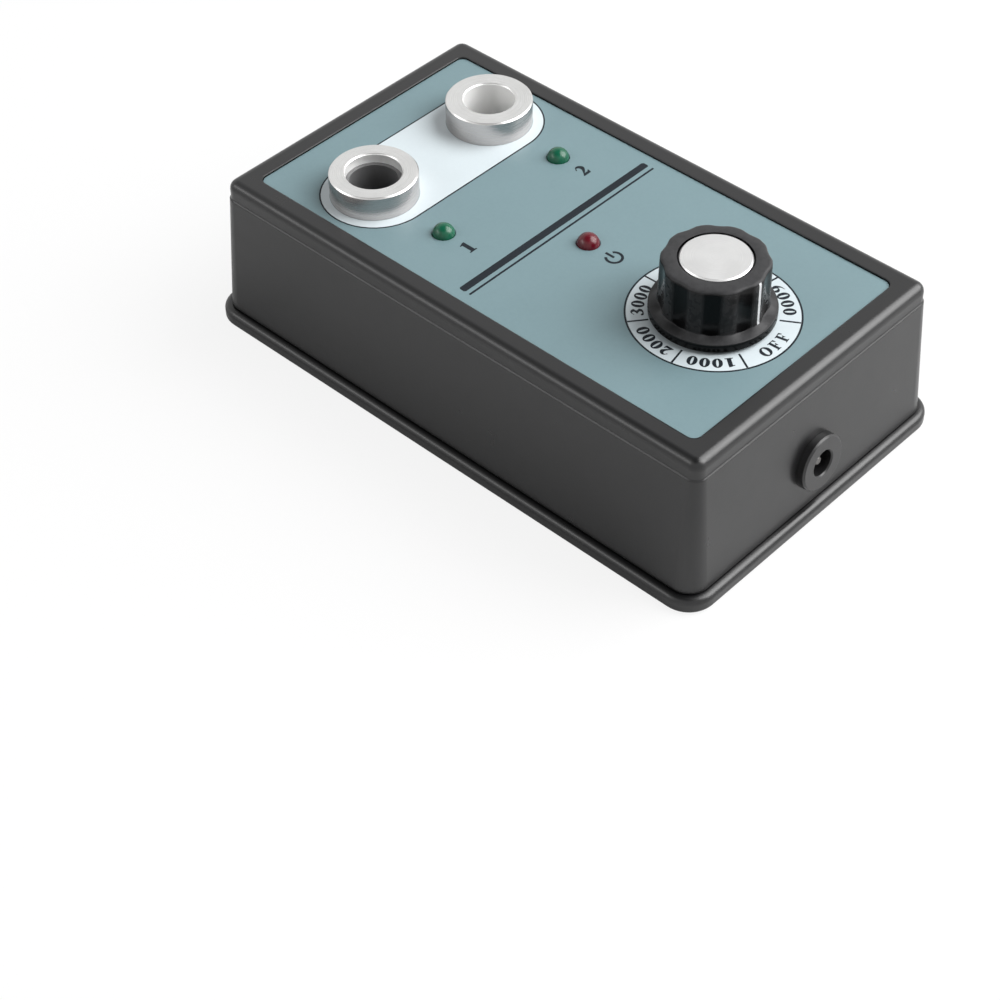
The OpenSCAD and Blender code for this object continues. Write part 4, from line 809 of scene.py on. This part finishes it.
def pointer_mesh():
    """A painted line down the rib that faces the OFF field."""
    bm = bmesh.new()
    heights = [POINTER_LOW + (POINTER_HIGH - POINTER_LOW) * i / POINTER_ROWS for i in range(POINTER_ROWS + 1)]
    rows = [(KNOB_AXIS[1] - knob_wall(POINTER_TURN, z) - POINTER_COAT / 2, z) for z in heights]
    start = [bm.verts.new((side * POINTER_HALF * MM, rows[0][0] * MM, rows[0][1] * MM)) for side in (-1, 1)]
    edge = bm.edges.new(start)
    for (y0, z0), (y1, z1) in zip(rows, rows[1:]):
        grown = bmesh.ops.extrude_edge_only(bm, edges=[edge])["geom"]
        fresh = [g for g in grown if isinstance(g, bmesh.types.BMVert)]
        bmesh.ops.translate(bm, verts=fresh, vec=(0, (y1 - y0) * MM, (z1 - z0) * MM))
        edge = next(g for g in grown if isinstance(g, bmesh.types.BMEdge) and all(v in fresh for v in g.verts))
    bmesh.ops.solidify(bm, geom=bm.faces, thickness=POINTER_COAT * MM)
    return mesh_from("pointer_line", bm, 40)


piece("pointer_line", pointer_mesh(), POINTER_PAINT, "knob")


# Inside the lamps

CUP_TOP = LAMP_TOP - 2.2
CUP_FOOT = CUP_TOP - 2.6


def lamp_cup(name, centre):
    """The small reflector cup that shows through a lens."""
    outline = [(0, CUP_FOOT), (1.15, CUP_FOOT), (1.35, CUP_TOP), (1.2, CUP_TOP), (0.55, CUP_TOP - 0.9),
               (0, CUP_TOP - 0.95)]
    piece(name, mesh_from(name, spun(outline, centre, 48), 30), TINNED_WIRE, "case")


lamp_cup("left_lamp_cup", GREEN_LAMPS[0])
lamp_cup("right_lamp_cup", GREEN_LAMPS[1])
lamp_cup("red_lamp_cup", RED_LAMP)


# Springs under the contacts

def coil_spring(name, node):
    """A contact's spring, copied from its node, which is hidden."""
    bm = bmesh.new()
    bm.from_mesh(NODES[node].data)
    made = piece(name, mesh_from(name, bm, 40), SPRING_STEEL, "case")
    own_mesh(made)
    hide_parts(node)


coil_spring("left_coil_spring", "left_contact_spring")
coil_spring("right_coil_spring", "right_contact_spring")


# Floor, lights, world and camera, in metres, watts and degrees

FLOOR_R, FLOOR_DROP = 4.0, 0.0002
FLOOR_NEAR, FLOOR_FAR, FLOOR_NEAR_SHARE = 0.4, 1.2, 0.86
# Name, place, aim, size and power
SOFT_BOXES = (
    ("key_box", (0.57, -0.48, 0.72), (0, 0, 0.02), (1.0, 1.0), 19),
    ("front_strip", (0.45, -0.6, 0.66), (0, 0, 0.03), (0.5, 0.12), 0.9),
    ("edge_strip", (-0.845, 0.587, 0.618), (0, 0, 0.03), (0.8, 0.35), 2.6),
)
CAMERA_PLACE = (-0.289667, -0.254527, 0.339837)
CAMERA_AZIMUTH, CAMERA_ELEVATION, CAMERA_ROLL = -46.507, 44.773, -0.705
CAMERA_LENS, SENSOR_WIDTH, CAMERA_SHIFT = 83.208, 36, -0.001


def light_path_mix(tree, plain, shown, camera_share, glossy_share):
    """Mixes two shaders: the second is seen by the camera and in glass, and partly in gloss."""
    path = put(tree, "LightPath")
    straight, glass = path.outputs["Is Camera Ray"], path.outputs["Is Transmission Ray"]
    seen = put(tree, "Math", {0: straight, 1: glass}, operation="MAXIMUM").outputs[0]
    gloss = times(tree, path.outputs["Is Glossy Ray"], glossy_share)
    share = put(tree, "Math", {0: times(tree, seen, camera_share), 1: gloss}, operation="MAXIMUM")
    return put(tree, "MixShader", {0: share.outputs[0], 1: plain, 2: shown}).outputs[0]


def make_floor():
    """A pale floor, nearly white to the camera, and quite white far away."""
    bm = bmesh.new()
    bmesh.ops.create_circle(bm, cap_ends=True, segments=96, radius=FLOOR_R)
    bmesh.ops.translate(bm, verts=bm.verts, vec=(0, 0, -FLOOR_DROP))
    floor = bpy.data.objects.new("floor", mesh_from("floor", bm))
    bpy.context.scene.collection.objects.link(floor)
    material = bpy.data.materials.new("pale_floor")
    material.use_nodes = True
    tree = material.node_tree
    tree.nodes.clear()
    paint = put(tree, "BsdfDiffuse", {"Color": (0.88, 0.88, 0.88, 1)})
    glow = put(tree, "Emission", {"Color": (1, 1, 1, 1), "Strength": 1.0})
    away = put(tree, "VectorMath", {0: object_place(tree)}, operation="LENGTH")
    share = put(tree, "MapRange", {"Value": away.outputs["Value"], "From Min": FLOOR_NEAR, "From Max": FLOOR_FAR,
                                   "To Min": FLOOR_NEAR_SHARE})
    shown = light_path_mix(tree, paint.outputs[0], glow.outputs[0], share.outputs[0], 0.25)
    put(tree, "OutputMaterial", {"Surface": shown})
    floor.data.materials.append(material)


def make_world():
    """A weak even fill; white all round, and darker overhead, to the camera and in gloss."""
    world = bpy.data.worlds.new("studio")
    bpy.context.scene.world = world
    world.use_nodes = True
    tree = world.node_tree
    tree.nodes.clear()
    spot = put(tree, "TexCoord").outputs["Generated"]
    height = put(tree, "SeparateXYZ", {0: spot}).outputs[2]
    ramp = put(tree, "MapRange", {"Value": height, "From Min": 0.74, "From Max": 0.9, "To Min": 1.0, "To Max": 0.12})
    fill = put(tree, "Background", {"Color": (1, 1, 1, 1), "Strength": 0.24})
    seen = put(tree, "Background", {"Color": (1, 1, 1, 1), "Strength": ramp.outputs[0]})
    shown = light_path_mix(tree, fill.outputs[0], seen.outputs[0], 1.0, 1.0)
    put(tree, "OutputWorld", {"Surface": shown})


def soft_box(name, place, aim, size, watts):
    """A rectangular light that faces a point."""
    light = bpy.data.lights.new(name, "AREA")
    light.shape = "RECTANGLE"
    light.size, light.size_y = size
    light.energy = watts
    holder = bpy.data.objects.new(name, light)
    holder.location = place
    holder.rotation_euler = (Vector(aim) - Vector(place)).to_track_quat("-Z", "Y").to_euler()
    bpy.context.scene.collection.objects.link(holder)


def make_camera():
    """Camera at the angle of the photograph."""
    az, el, roll = (math.radians(a) for a in (CAMERA_AZIMUTH, CAMERA_ELEVATION, CAMERA_ROLL))
    back = Vector((math.sin(az) * math.cos(el), -math.cos(az) * math.cos(el), math.sin(el)))
    across = Vector((0, 0, 1)).cross(back).normalized()
    up = back.cross(across)
    c, s = math.cos(roll), math.sin(roll)
    right, top = c * across + s * up, c * up - s * across
    data = bpy.data.cameras.new("camera")
    data.sensor_fit = "HORIZONTAL"
    data.sensor_width = SENSOR_WIDTH
    data.lens = CAMERA_LENS
    data.shift_x = CAMERA_SHIFT
    data.clip_start = 0.01
    data.clip_end = 20
    camera = bpy.data.objects.new("camera", data)
    rows = [(*axes, place) for axes, place in zip(zip(right, top, back), CAMERA_PLACE)]
    camera.matrix_world = Matrix((*rows, (0, 0, 0, 1)))
    bpy.context.scene.collection.objects.link(camera)
    bpy.context.scene.camera = camera


make_floor()
make_world()
for box in SOFT_BOXES:
    soft_box(*box)
make_camera()
bpy.context.scene.view_settings.view_transform = "Standard"
